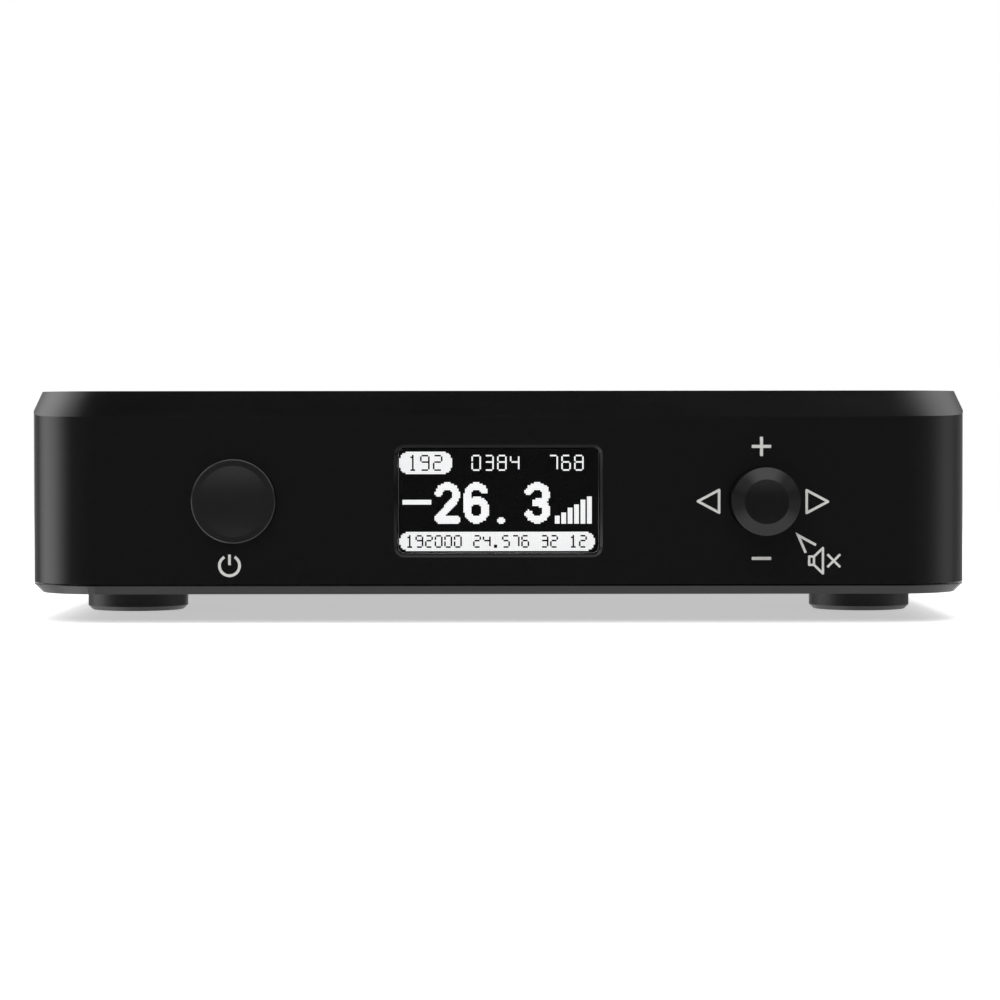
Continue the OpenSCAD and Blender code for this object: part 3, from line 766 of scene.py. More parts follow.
    @staticmethod
    @cache
    def calm() -> bpy.types.NodeTree:
        """Flat normal close to an axis along y, where the rounded normals of a turned cap meet badly.

        Returns:
            The group, which puts out Normal.
        """
        nodes, given, result = Effects.start("calm_centre", ("Radius",), (), ("Centre",), ("Normal",))
        share = nodes.math("DIVIDE", nodes.off_axis(given["Centre"]), given["Radius"])
        geometry = nodes.add("NewGeometry").outputs
        blend = nodes.fill(nodes.add("Mix", data_type="VECTOR"), {
            0: nodes.ramp(share, low=0.8, high=1.0),
            4: geometry["True Normal"],
            5: geometry["Normal"],
        })
        nodes.feed(result["Normal"], blend.outputs[1])
        return nodes.tree

    @staticmethod
    @cache
    def brushed() -> bpy.types.NodeTree:
        """Fine lines along y, as drawing and plating leave on small metal parts.

        Returns:
            The group, which puts out Height.
        """
        nodes, given, result = Effects.start("drawn_lines", ("Scale", "Depth"), ("Height",))
        along_y = (1.0, 0.05, 1.0)
        drawn = nodes.vector("MULTIPLY", nodes.where(), along_y)
        value = nodes.noise(drawn, given["Scale"])
        nodes.feed(result["Height"], nodes.chain("MULTIPLY", value, given["Depth"]))
        return nodes.tree


# ---------------------------------------------------------------- finishes


class Lines(Enum):
    """Tool marks on a finish."""

    NONE = "none"
    TURNED = "turned"
    DRAWN = "drawn"


class Material:
    """Base of the finishes: a material that is made once and then shared.

    Args:
        name: Name of the material.
    """

    name: str

    @cache
    def material(self) -> bpy.types.Material:
        """Makes the material.

        Returns:
            The material.
        """
        material, nodes, surface = fresh_material(self.name)
        nodes.fill(surface, self.inputs(nodes))
        return material

    def inputs(self, nodes: Nodes) -> dict[str, object]:
        """What feeds the shader.

        Args:
            nodes: The material's node builder.

        Returns:
            Sockets and constants by the names of the shader's inputs.
        """
        raise NotImplementedError


@dataclass(frozen=True)
class Finish(Material):
    """Opaque finish with grain, drift, lighter edges for wear and painted edge highlight, and dust.

    Args:
        name: Name of the material.
        colour: Its colour, linear.
        roughness: Its mean roughness.
        metallic: 1 for bare metal, 0 for all else.
        grain: Grain cells per metre.
        depth: Height of the grain in metres.
        tone: How much lighter the grain's high spots are, as a share.
        spread: How far roughness drifts to each side.
        drift: Cells per metre of that drift.
        wear_and_highlight: How much of the edges is painted lighter, as wear and as a painted edge highlight.
        wear_and_highlight_colour: The lighter colour painted there.
        wear_and_highlight_width: How far from an edge the wear and painted highlight reach, in metres.
        dust: How much dust lies on top.
        dust_colour: Its colour.
        dust_matt: How much rougher dust makes the surface.
        lines: Tool marks.
        pitch: Their spacing: metres a radian for turned marks, lines per metre for drawn ones.
        line_depth: Their depth, in metres.
        centre: Axis of turned marks, in metres.
        calm: How far from that axis flat normals are taken, in metres.
        coat: Weight of a clear coat.
        coat_roughness: Its roughness.
    """

    name: str
    colour: Colour
    roughness: float
    metallic: float = 0.0
    grain: float = 9000.0
    depth: float = 4e-6
    tone: float = 0.15
    spread: float = 0.04
    drift: float = 70.0
    wear_and_highlight: float = 0.0
    wear_and_highlight_colour: Colour = (0.12, 0.12, 0.125)
    wear_and_highlight_width: float = 1.5e-4
    dust: float = 0.0
    dust_colour: Colour = (0.16, 0.155, 0.15)
    dust_matt: float = 0.4
    lines: Lines = Lines.NONE
    pitch: float = 2e-5
    line_depth: float = 1e-6
    centre: tuple[float, float, float] = (0.0, 0.0, 0.0)
    calm: float = 0.0
    coat: float = 0.0
    coat_roughness: float = 0.12

    def inputs(self, nodes: Nodes) -> dict[str, object]:
        """What feeds the shader.

        Args:
            nodes: The material's node builder.

        Returns:
            Sockets and constants by the names of the shader's inputs.
        """
        grain = nodes.group(Effects.grain(), Scale=self.grain, Depth=self.depth)
        lighter = tuple(min(1.0, c * (1 + self.tone)) for c in self.colour)
        darker = tuple(c * (1 - self.tone) for c in self.colour)
        colour = nodes.mix(grain.outputs["Tone"], darker, lighter)
        rough = nodes.group(Effects.drift(), Scale=self.drift, Low=self.roughness - self.spread,
                            High=self.roughness + self.spread).outputs["Value"]
        # Edges are painted lighter: partly wear, partly a painted edge highlight standing in for light caught
        # on the edges.
        if self.wear_and_highlight > 0:
            wear_and_highlight_edge = nodes.group(Effects.edges(), Radius=self.wear_and_highlight_width, Amount=self.wear_and_highlight).outputs["Mask"]
            colour = nodes.mix(wear_and_highlight_edge, colour, self.wear_and_highlight_colour)
        if self.dust > 0:
            dusty = nodes.group(Effects.dust(), Amount=self.dust).outputs["Mask"]
            colour = nodes.mix(dusty, colour, self.dust_colour)
            rough = nodes.math("ADD", rough, nodes.math("MULTIPLY", dusty, self.dust_matt), clamp=True)
        height = grain.outputs["Height"]
        if self.lines is Lines.TURNED:
            marks = nodes.group(Effects.turned(), Pitch=self.pitch, Depth=self.line_depth, Centre=self.centre)
            height = nodes.math("ADD", height, marks.outputs["Height"])
        if self.lines is Lines.DRAWN:
            marks = nodes.group(Effects.brushed(), Scale=self.pitch, Depth=self.line_depth)
            height = nodes.math("ADD", height, marks.outputs["Height"])
        bump = nodes.bump(height)
        if self.calm > 0:
            flat = nodes.group(Effects.calm(), Radius=self.calm, Centre=self.centre)
            nodes.feed(bump.inputs["Normal"], flat.outputs["Normal"])
        return {
            "Base Color": colour,
            "Roughness": rough,
            "Normal": bump.outputs["Normal"],
            "Metallic": self.metallic,
            "Coat Weight": self.coat,
            "Coat Roughness": self.coat_roughness,
        }


@dataclass(frozen=True)
class LensFinish(Material):
    """Smoked clear window: a coating keeps its reflections low, and its cut sides are blackened.

    Args:
        name: Name of the material.
        tint: Share of light that each face lets through, by colour.
        index: Refractive index that the coated faces act as.
        smear: Lowest and highest roughness of the faces.
        facing: Span, from side to face, of how far a surface looks forwards or back.
    """

    name: str = "smoked_window"
    tint: Colour = (0.93, 0.935, 0.94)
    index: float = 1.2
    smear: Span = (0.0, 0.02)
    facing: Span = (0.4, 0.6)

    def inputs(self, nodes: Nodes) -> dict[str, object]:
        """What feeds the shader.

        Args:
            nodes: The material's node builder.

        Returns:
            Sockets and constants by the names of the shader's inputs.
        """
        low, high = self.smear
        smear = nodes.group(Effects.drift(), Scale=120.0, Low=low, High=high).outputs["Value"]
        face = nodes.add("NewGeometry").outputs["True Normal"]
        across = nodes.math("ABSOLUTE", nodes.vector("DOT_PRODUCT", face, (0.0, 1.0, 0.0)))
        clear = nodes.ramp(across, *self.facing)
        matt = nodes.math("SUBTRACT", 1.0, clear)
        return {
            "Base Color": nodes.mix(clear, (0.0, 0.0, 0.0), self.tint),
            "Roughness": nodes.math("ADD", smear, matt, clamp=True),
            "Transmission Weight": 1.0,
            "IOR": self.index,
        }


@dataclass(frozen=True)
class LitFinish(Material):
    """Lit dots of the display, a little uneven from dot to dot.

    Args:
        name: Name of the material.
        colour: Colour of the light.
        dim: Brightness of the dimmest dots, as a share.
        strength: How bright it is, 1 being white.
        dot: Colour of a dot itself.
        roughness: Its roughness.
    """

    name: str = "lit_dots"
    colour: Colour = (1.0, 1.0, 1.0)
    dim: float = 0.88
    strength: float = 1.0
    dot: Colour = (0.5, 0.5, 0.5)
    roughness: float = 0.6

    def inputs(self, nodes: Nodes) -> dict[str, object]:
        """What feeds the shader.

        Args:
            nodes: The material's node builder.

        Returns:
            Sockets and constants by the names of the shader's inputs.
        """
        drift = nodes.group(Effects.drift(), Scale=450.0, Low=0.9, High=1.0).outputs["Value"]
        return {
            "Base Color": self.dot,
            "Roughness": self.roughness,
            "Emission Color": nodes.mix(drift, tuple(self.dim * c for c in self.colour), self.colour),
            "Emission Strength": self.strength,
        }


@dataclass(frozen=True)
class BoardFinish(Material):
    """Circuit board: solder mask with copper tracks showing through it.

    Args:
        name: Name of the material.
        mask: Colour of the mask over bare board.
        track: Colour of the mask over copper.
        relief: How far the copper stands out, in metres.
        cells: Cells of the track pattern per metre.
        bands: Number of track bands in a cell.
        side: Where in a band the copper starts and is full.
        gloss: Lowest and highest roughness.
    """

    name: str = "board_green_mask"
    mask: Colour = (0.012, 0.075, 0.03)
    track: Colour = (0.03, 0.16, 0.06)
    relief: float = 1.5e-5
    cells: float = 260.0
    bands: float = 9.0
    side: Span = (0.44, 0.5)
    gloss: Span = (0.28, 0.4)

    def inputs(self, nodes: Nodes) -> dict[str, object]:
        """What feeds the shader.

        Args:
            nodes: The material's node builder.

        Returns:
            Sockets and constants by the names of the shader's inputs.
        """
        cells = nodes.fill(nodes.add("TexVoronoi", distance="CHEBYCHEV", feature="F1"), {
            "Vector": nodes.where(),
            "Scale": self.cells,
            "Randomness": 0.8,
        })
        bands = nodes.math("FRACT", nodes.math("MULTIPLY", cells.outputs["Distance"], self.bands))
        copper = nodes.ramp(bands, *self.side)
        drift = nodes.group(Effects.drift(), Scale=90.0, Low=self.gloss[0], High=self.gloss[1])
        return {
            "Base Color": nodes.mix(copper, self.mask, self.track),
            "Roughness": drift.outputs["Value"],
            "Normal": nodes.bump(nodes.math("MULTIPLY", copper, self.relief)).outputs["Normal"],
        }


def fresh_material(name: str) -> tuple[bpy.types.Material, Nodes, bpy.types.Node]:
    """Starts a material.

    Args:
        name: Its name.

    Returns:
        The material, its node builder and its Principled BSDF.
    """
    material = bpy.data.materials.new(name)
    material.use_nodes = True
    nodes = Nodes(material.node_tree)
    surface = nodes.add("BsdfPrincipled")
    nodes.fill(nodes.add("OutputMaterial"), {"Surface": surface.outputs["BSDF"]})
    return material, nodes, surface


# The lighter edge colour of the black case is a painted edge highlight along its edges.
ANODISED = Finish("black_anodised_satin", (0.0034, 0.0034, 0.0036), 0.13, grain=7000.0, depth=6e-7, tone=0.2,
                  spread=0.01, wear_and_highlight=0.5, wear_and_highlight_colour=(0.022, 0.022, 0.023), dust=0.003)
PRINT_INK = Finish("pale_print_ink", (0.52, 0.52, 0.50), 0.6, grain=12000.0, depth=4e-6, tone=0.06)
SCREW_BLACK = Finish("black_oxide_screw", (0.02, 0.02, 0.021), 0.38, metallic=0.6, grain=12000.0, wear_and_highlight=0.6,
                     wear_and_highlight_colour=(0.2, 0.2, 0.2))
# Rubber colour at the light end of black rubber, partly painted light that makes up for the shade under the
# case where the feet stand.
RUBBER = Finish("black_rubber_matt", (0.028, 0.028, 0.029), 0.42, grain=5000.0, depth=8e-6, tone=0.25,
                dust=0.1)
FOAM = Finish("black_cell_foam", (0.015, 0.015, 0.015), 0.95, grain=3500.0, depth=6e-5, tone=0.4)
PANEL_GLASS = Finish("display_panel_glass", (0.0012, 0.0012, 0.0016), 0.12, grain=3000.0, depth=2e-7,
                     spread=0.03)
FILM = Finish("amber_ribbon_film", (0.30, 0.12, 0.02), 0.35, grain=3000.0, depth=2e-6, lines=Lines.DRAWN,
              pitch=3000.0, line_depth=8e-6, coat=0.3)
WHITE_PLASTIC = Finish("white_moulded_plastic", (0.72, 0.71, 0.68), 0.42, grain=4000.0, tone=0.05)
BLACK_PLASTIC = Finish("black_moulded_plastic", (0.013, 0.013, 0.014), 0.45, grain=6000.0, depth=8e-6,
                       tone=0.3)
RED_PLASTIC = Finish("red_moulded_plastic", (0.48, 0.015, 0.012), 0.4, grain=4000.0, tone=0.08)
STEEL = Finish("bright_plated_steel", (0.62, 0.61, 0.59), 0.24, metallic=1.0, grain=6000.0, depth=1e-6,
               tone=0.06, lines=Lines.DRAWN, pitch=9000.0, line_depth=2e-6)
GOLD = Finish("gold_plated_brass", (0.83, 0.56, 0.22), 0.2, metallic=1.0, grain=7000.0, depth=8e-7, tone=0.05,
              lines=Lines.TURNED, pitch=1.5e-5, line_depth=5e-7)
CHIP = Finish("chip_package_black", (0.012, 0.012, 0.013), 0.55, grain=9000.0, depth=6e-6, tone=0.3)
SLEEVE = Finish("capacitor_sleeve", (0.014, 0.016, 0.03), 0.35, grain=3000.0, tone=0.2, coat=0.2)
FILM_RED = Finish("film_capacitor_red", (0.42, 0.03, 0.02), 0.35, grain=2500.0, tone=0.12, coat=0.4)
LENS = LensFinish()
LIT = LitFinish()
BOARD = BoardFinish()


def dress(node: str, finish: Material) -> None:
    """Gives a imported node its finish.

    Args:
        node: Name of the node.
        finish: The finish.
    """
    for slot in frame["nodes"][node].material_slots:
        slot.material = finish.material()
    log.info("%s: %s", node, finish.name)


def middle_of(node: str) -> Vector:
    """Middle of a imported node's box, in metres."""
    low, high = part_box(node)
    return (low + high) / 2


# ---------------------------------------------------------------- studio


@dataclass
class Softbox:
    """Square or oblong soft lamp that faces the object.

    Args:
        name: Name of the lamp.
        place: Its centre, in metres.
        size: Its width and height, in metres.
        level: Brightness of its face, 1 being white.
        mirrored: False where shiny surfaces and the window don't show it.
        aim: Point that it faces, in metres.
    """

    name: str
    place: tuple[float, float, float]
    size: tuple[float, float]
    level: float
    mirrored: bool = True
    aim: tuple[float, float, float] = (0.0, 0.0, 0.01)

    def build(self) -> None:
        """Makes the lamp."""
        data = bpy.data.lights.new(self.name, "AREA")
        data.shape = "RECTANGLE"
        data.size, data.size_y = self.size
        data.energy = self.level * math.pi * self.size[0] * self.size[1]
        lamp = bpy.data.objects.new(self.name, data)
        heading = Vector(self.aim) - Vector(self.place)
        turn = heading.to_track_quat("-Z", "Y").to_matrix().to_4x4()
        lamp.matrix_world = Matrix.Translation(self.place) @ turn
        lamp.visible_camera = False
        lamp.visible_glossy = self.mirrored
        lamp.visible_transmission = self.mirrored
        bpy.context.scene.collection.objects.link(lamp)


class Axis(Enum):
    """What a step runs along: a part of a direction, x being right, y away from the camera and z up."""

    X = "x"
    Y = "y"
    Z = "z"
    SIDE = "absolute x"


@dataclass(frozen=True)
class Step:
    """Smooth step along an axis. Each of its values may itself change by direction.

    Args:
        axis: What it runs along.
        start: Where it starts.
        end: Where it ends.
        low: Value at and before the start.
        high: Value at and after the end.
    """

    axis: Axis
    start: "Level"
    end: "Level"
    low: "Level" = 0.0
    high: "Level" = 1.0


Level = float | Step | tuple | list
"""A value by direction: a number, a step, a tuple for the product of levels or a list for their sum."""


@dataclass
class Surroundings:
    """World of the studio, with a brightness for each direction. The brightest part counts.

    Args:
        room: Ceiling, which reaches lower in the front half, light from below, and wall behind the camera.
        top_edge: z of the backdrop's upper edge, which is lower in the middle.
        top_soft: How far the backdrop takes to end above it.
        backdrop: White backdrop behind the object, dimmer on its wings and in its upper part.
        low: Dark round the camera, nearly black behind the object, and a glow low on both sides.
        sheen: Sheen high on both sides.
        through: Where white is seen through the window.
    """

    room: Level = field(default_factory=lambda: [
        Step(Axis.Z, Step(Axis.Y, 0.1, -0.2, 0.85, 0.62), Step(Axis.Y, 0.1, -0.2, 0.98, 0.86), 0.0, 1.15),
        Step(Axis.Z, 0.0, -0.65, 0.0, 0.94),
        (Step(Axis.Y, 0.1, -0.2), Step(Axis.Z, 0.17, 0.42, 0.0, 0.36)),
    ])
    top_edge: Level = field(default_factory=lambda: [
        Step(Axis.X, -0.05, 0.05, 0.470, 0.488),
        (Step(Axis.X, -0.20, -0.14, 0.0, -0.04), Step(Axis.X, 0.0, 0.24, 1.0, 0.0)),
    ])
    top_soft: float = 0.07
    backdrop: Level = (
        Step(Axis.Y, 0.0, 0.3),
        Step(Axis.SIDE, 0.42, 0.30, 0.25, 1.0),
        Step(Axis.Z, 0.10, 0.26, 1.0,
             (Step(Axis.X, -0.1, 0.1, 0.84, 0.62), Step(Axis.Z, 0.28, 0.45, 0.5, 1.0))),
    )
    low: Level = field(default_factory=lambda: [
        (Step(Axis.Y, -0.97, -0.55, 0.095, 0.19), Step(Axis.Y, 0.4, 0.0, 0.004, 1.0)),
        (Step(Axis.Z, 0.12, 0.0), Step(Axis.Y, 0.80, 0.20), Step(Axis.Y, -0.65, 0.05),
         [Step(Axis.X, -0.1, -0.4, 0.0, 1.78), Step(Axis.X, 0.1, 0.4, 0.0, 0.5)]),
    ])
    sheen: Level = (Step(Axis.SIDE, 0.34, 0.60), Step(Axis.Z, 0.30, 0.55, 0.0, 0.3))
    through: Level = Step(Axis.Y, -0.05, 0.05)

    def build(self) -> None:
        """Makes the world: white to the camera and through the window, and by direction to all else."""
        world = bpy.data.worlds.new("studio_world")
        world.use_nodes = True
        bpy.context.scene.world = world
        nodes = Nodes(world.node_tree)
        heading = nodes.add("TexCoord").outputs["Generated"]
        x, y, z = nodes.fill(nodes.add("SeparateXYZ"), {0: heading}).outputs
        axes = {Axis.X: x, Axis.Y: y, Axis.Z: z, Axis.SIDE: nodes.math("ABSOLUTE", x)}
        over = Step(Axis.Z, [self.top_edge, self.top_soft], self.top_edge)
        path = nodes.add("LightPath").outputs
        through = nodes.chain("MULTIPLY", path["Is Transmission Ray"], self.socket(nodes, axes, self.through))
        parts = (self.room, (over, self.backdrop), self.low, self.sheen)
        level = nodes.chain("MAXIMUM", *(self.socket(nodes, axes, part) for part in parts),
                            path["Is Camera Ray"], through)
        background = nodes.fill(nodes.add("Background"), {"Color": (1.0, 1.0, 1.0), "Strength": level})
        nodes.fill(nodes.add("OutputWorld"), {"Surface": background.outputs[0]})

    def socket(self, nodes: Nodes, axes: dict[Axis, Socket], level: Level) -> object:
        """Builds the nodes of a level.

        Args:
            nodes: The world's node builder.
            axes: The parts of the direction.
            level: The level.

        Returns:
            Its output socket, or the number that it is.
        """
        if isinstance(level, Step):
            ends = (self.socket(nodes, axes, end) for end in (level.start, level.end, level.low, level.high))
            return nodes.ramp(axes[level.axis], *ends)
        if isinstance(level, (tuple, list)):
            operation = "MULTIPLY" if isinstance(level, tuple) else "ADD"
            return nodes.chain(operation, *(self.socket(nodes, axes, part) for part in level))
        return level


@dataclass
class Floor:
    """Pale floor that is white to the camera away from the object and keeps its shadow near it.

    Args:
        size: Its side, in metres.
        colour: Its colour.
        roughness: Its roughness.
        lift: Light added for the camera only.
        white: Distances from the object over which it turns white to the camera, in metres.
    """

    size: float = 12.0
    colour: Colour = (0.82, 0.82, 0.82)
    roughness: float = 0.9
    lift: float = 0.5
    white: Span = (0.16, 0.42)

    def build(self) -> None:
        """Makes the floor."""
        mesh = bmesh.new()
        bmesh.ops.create_grid(mesh, x_segments=8, y_segments=8, size=self.size / 2)
        data = bpy.data.meshes.new("studio_floor")
        mesh.to_mesh(data)
        mesh.free()
        data.materials.append(self.material())
        floor = bpy.data.objects.new("studio_floor", data)
        bpy.context.scene.collection.objects.link(floor)
        floor.visible_glossy = False
        floor.visible_transmission = False
        floor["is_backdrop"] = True

    def material(self) -> bpy.types.Material:
        """Makes the floor's material.

        Returns:
            The material.
        """
        material, nodes, surface = fresh_material("pale_floor")
        straight = nodes.add("LightPath").outputs["Is Camera Ray"]
        away = nodes.ramp(nodes.vector("LENGTH", nodes.where()), *self.white)
        nodes.fill(surface, {
            "Base Color": self.colour,
            "Roughness": self.roughness,
            "Specular IOR Level": 0.0,
            "Emission Color": (1.0, 1.0, 1.0),
            "Emission Strength": nodes.math("MULTIPLY", straight, self.lift),
        })
        blend = nodes.fill(nodes.add("MixShader"), {
            0: nodes.math("MULTIPLY", away, straight),
            1: surface.outputs["BSDF"],
            2: nodes.add("Emission").outputs[0],
        })
        output = next(node for node in nodes.tree.nodes if node.type == "OUTPUT_MATERIAL")
        nodes.fill(output, {"Surface": blend.outputs[0]})
        return material


@dataclass
class Studio:
    """World, floor and soft lamps.

    Args:
        surroundings: The world.
        floor: The floor.
        lamps: The lamps.
    """

    surroundings: Surroundings = field(default_factory=Surroundings)
    floor: Floor = field(default_factory=Floor)
    lamps: list[Softbox] = field(default_factory=lambda: [
        Softbox("left_softbox", (-1.40, 0.30, 1.00), (1.6, 1.3), 1.3),
        Softbox("right_softbox", (1.40, 0.30, 1.00), (1.5, 1.3), 0.7),
        Softbox("front_fill", (-0.35, -1.5, 1.1), (1.6, 1.2), 3.2, mirrored=False),
        Softbox("rear_fill", (0.5, 1.7, 1.1), (1.6, 1.2), 1.6, mirrored=False),
        Softbox("top_fill", (0.0, 0.0, 1.9), (1.6, 1.6), 1.4, mirrored=False),
    ])

    def build(self) -> None:
        """Makes the world, the floor and the lamps."""
        self.surroundings.build()
        self.floor.build()
        for lamp in self.lamps:
            lamp.build()
        bpy.context.scene.view_settings.view_transform = "Standard"
        log.info("studio: %d lamps", len(self.lamps))


# ---------------------------------------------------------------- sub-assemblies


class Assembly:
    """Base of the sub-assemblies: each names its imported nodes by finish, and adds its own pieces."""

    finishes: ClassVar[dict[Material, tuple[str, ...]]]
    """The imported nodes, by their finish."""

    def build(self) -> None:
        """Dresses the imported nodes."""
        for finish, nodes in self.finishes.items():
            for node in nodes:
                dress(node, finish)


class Enclosure(Assembly):
    """Shell, cover, rear panel, feet and screws."""

    finishes = {
        ANODISED: ("upper_case", "bottom_cover", "rear_panel"),
        RUBBER: ("foot_front_left", "foot_front_right", "foot_rear_left", "foot_rear_right"),
        SCREW_BLACK: ("bottom_screws", "rear_panel_screws", "board_screws", "front_board_screws"),
    }


class Boards(Assembly):
    """Main board and front board, with what they stand on and what stands on them."""

    finishes = {
        BOARD: ("main_board", "front_board"),
        CHIP: ("data_receiver_chip", "controller_chip", "converter_chips", "amplifier_chips",
               "voltage_regulators", "power_inductor"),
        WHITE_PLASTIC: ("board_headers", "board_ribbon", "output_relays", "small_chip_parts"),
        STEEL: ("clock_oscillators",),
        GOLD: ("board_standoffs",),
        SLEEVE: ("electrolytic_capacitors",),
        FILM_RED: ("film_capacitors",),
    }


@dataclass(frozen=True)
class Ink:
    """Thin raised print on a flat surface.

    Args:
        thickness: How far the ink stands out, in millimetres.
        sunk: How far its back lies under the surface, in millimetres.
    """

    thickness: float = 0.02
    sunk: float = 0.01

    def print(self, name: str, regions: list[list[Loop2]], place: Vector, normal: Vector) -> None:
        """Prints a drawing with its middle at a place.

        Args:
            name: Name of the piece.
            regions: What is printed, in millimetres, seen from outside.
            place: Where its middle goes, in metres.
            normal: Outward normal of the surface there.
        """
        drawn = [point for region in regions for loop in region for point in loop]
        middle = [(min(p[axis] for p in drawn) + max(p[axis] for p in drawn)) / 2 for axis in (0, 1)]
        across = normal.cross(Vector((0.0, 0.0, -1.0))).normalized()
        up = across.cross(-normal).normalized()

        def lift(x: float, y: float, height: float) -> Vector:
            """Place of a drawn point, height above the back of the ink."""
            flat = across * (x - middle[0]) + up * (y - middle[1])
            return place + (flat + normal * (height - self.sunk)) * MM

        mesh = bmesh.new()
        for region in regions:
            add_prism(mesh, region, lift, self.thickness + self.sunk)
        finished_piece(name, mesh, PRINT_INK.material(), CASE)


@dataclass
class FrontPrint:
    """Symbols printed on the front, each drawn in millimetres about its own middle.

    Args:
        camera: The camera through which they are placed.
        ink: The ink.
        sign_reach: Length of an arm of the plus and minus signs.
        sign_width: Width of their arms.
        arrow_width: Width of the middle line of an arrow.
        arrow_height: Its height.
        arrow_stroke: Width of the lines of arrows and pointer.
        power_radius: Radius of the power symbol's middle line.
        power_stroke: Width of its line.
        power_gap: Half of its opening, in degrees.
        stem: Upper and lower end of its stem.
        stem_share: Width of the stem, as a share of the line's.
        speaker_stroke: Width of the speaker's lines.
        pointer: Points of the pointer's line.
    """

    camera: MainCamera
    ink: Ink = Ink()
    sign_reach: float = 1.05
    sign_width: float = 0.34
    arrow_width: float = 2.3
    arrow_height: float = 2.45
    arrow_stroke: float = 0.275
    power_radius: float = 1.09
    power_stroke: float = 0.31
    power_gap: float = 31.0
    stem: tuple[float, float] = (1.20, 0.05)
    stem_share: float = 0.95
    speaker_stroke: float = 0.25
    pointer: tuple[Point2, ...] = ((1.0, -0.12), (-0.93, 0.93), (-0.10, -0.98))

    def build(self) -> None:
        """Makes each symbol on the upper case."""
        reach, half = self.sign_reach, self.sign_width / 2
        across, up = self.arrow_width / 2, self.arrow_height / 2
        ring = arc((0.0, 0.0), (self.power_radius,) * 2, 90 - self.power_gap, -270 + self.power_gap, steps=40)
        stem = [(0.0, self.stem[0]), (0.0, self.stem[1])]
        self.symbol("power_symbol", [
            Stroke(ring, self.power_stroke).region(),
            Stroke(stem, self.power_stroke * self.stem_share).region(),
        ])
        self.symbol("plus_symbol", [[plus_outline(reach, self.sign_width)]])
        self.symbol("minus_symbol", [[[(-reach, -half), (reach, -half), (reach, half), (-reach, half)]]])
        left = [(-across, 0.0), (across, up), (across, -up)]
        right = [(across, 0.0), (-across, up), (-across, -up)]
        self.symbol("left_arrow_symbol", [Stroke(left, self.arrow_stroke, True).region()])
        self.symbol("right_arrow_symbol", [Stroke(right, self.arrow_stroke, True).region()])
        self.symbol("pointer_symbol", [Stroke(self.pointer, self.arrow_stroke, join=Join.SHARP).region()])
        self.symbol("mute_symbol", self.speaker())

    def speaker(self) -> list[list[Loop2]]:
        """Outlined speaker with a cross beside it.

        Returns:
            The regions, in millimetres about the symbol's middle.
        """
        width = self.speaker_stroke
        back, neck, rim = -1.64, -1.12, -0.15
        box_half, rim_half = 0.45, 1.38
        cross_at, cross_reach = 1.03, 0.98
        outline = [(back, box_half), (neck, box_half), (rim, rim_half), (rim, -rim_half), (neck, -box_half),
                   (back, -box_half)]
        box = [(back, box_half), (neck, box_half), (neck, -box_half), (back, -box_half)]
        cone = [(neck, box_half), (rim, rim_half), (rim, -rim_half), (neck, -box_half)]
        outer = shifted(outline, width / 2, True, Join.ROUND)
        holes = [shifted(shape, -width / 2, True, Join.SHARP) for shape in (box, cone)]
        cross = [(x + cross_at, y) for x, y in plus_outline(cross_reach, width, math.pi / 4)]
        return [[outer] + holes, [cross]]

    def symbol(self, name: str, regions: list[list[Loop2]]) -> None:
        """Prints one symbol with its middle at its image point.

        Args:
            name: Name of the piece and of its image point.
            regions: What is printed, in millimetres.
        """
        place, normal = self.camera.place_on(frame["nodes"]["upper_case"], IMAGE_POINTS[name])
        self.ink.print(name, regions, place, normal)


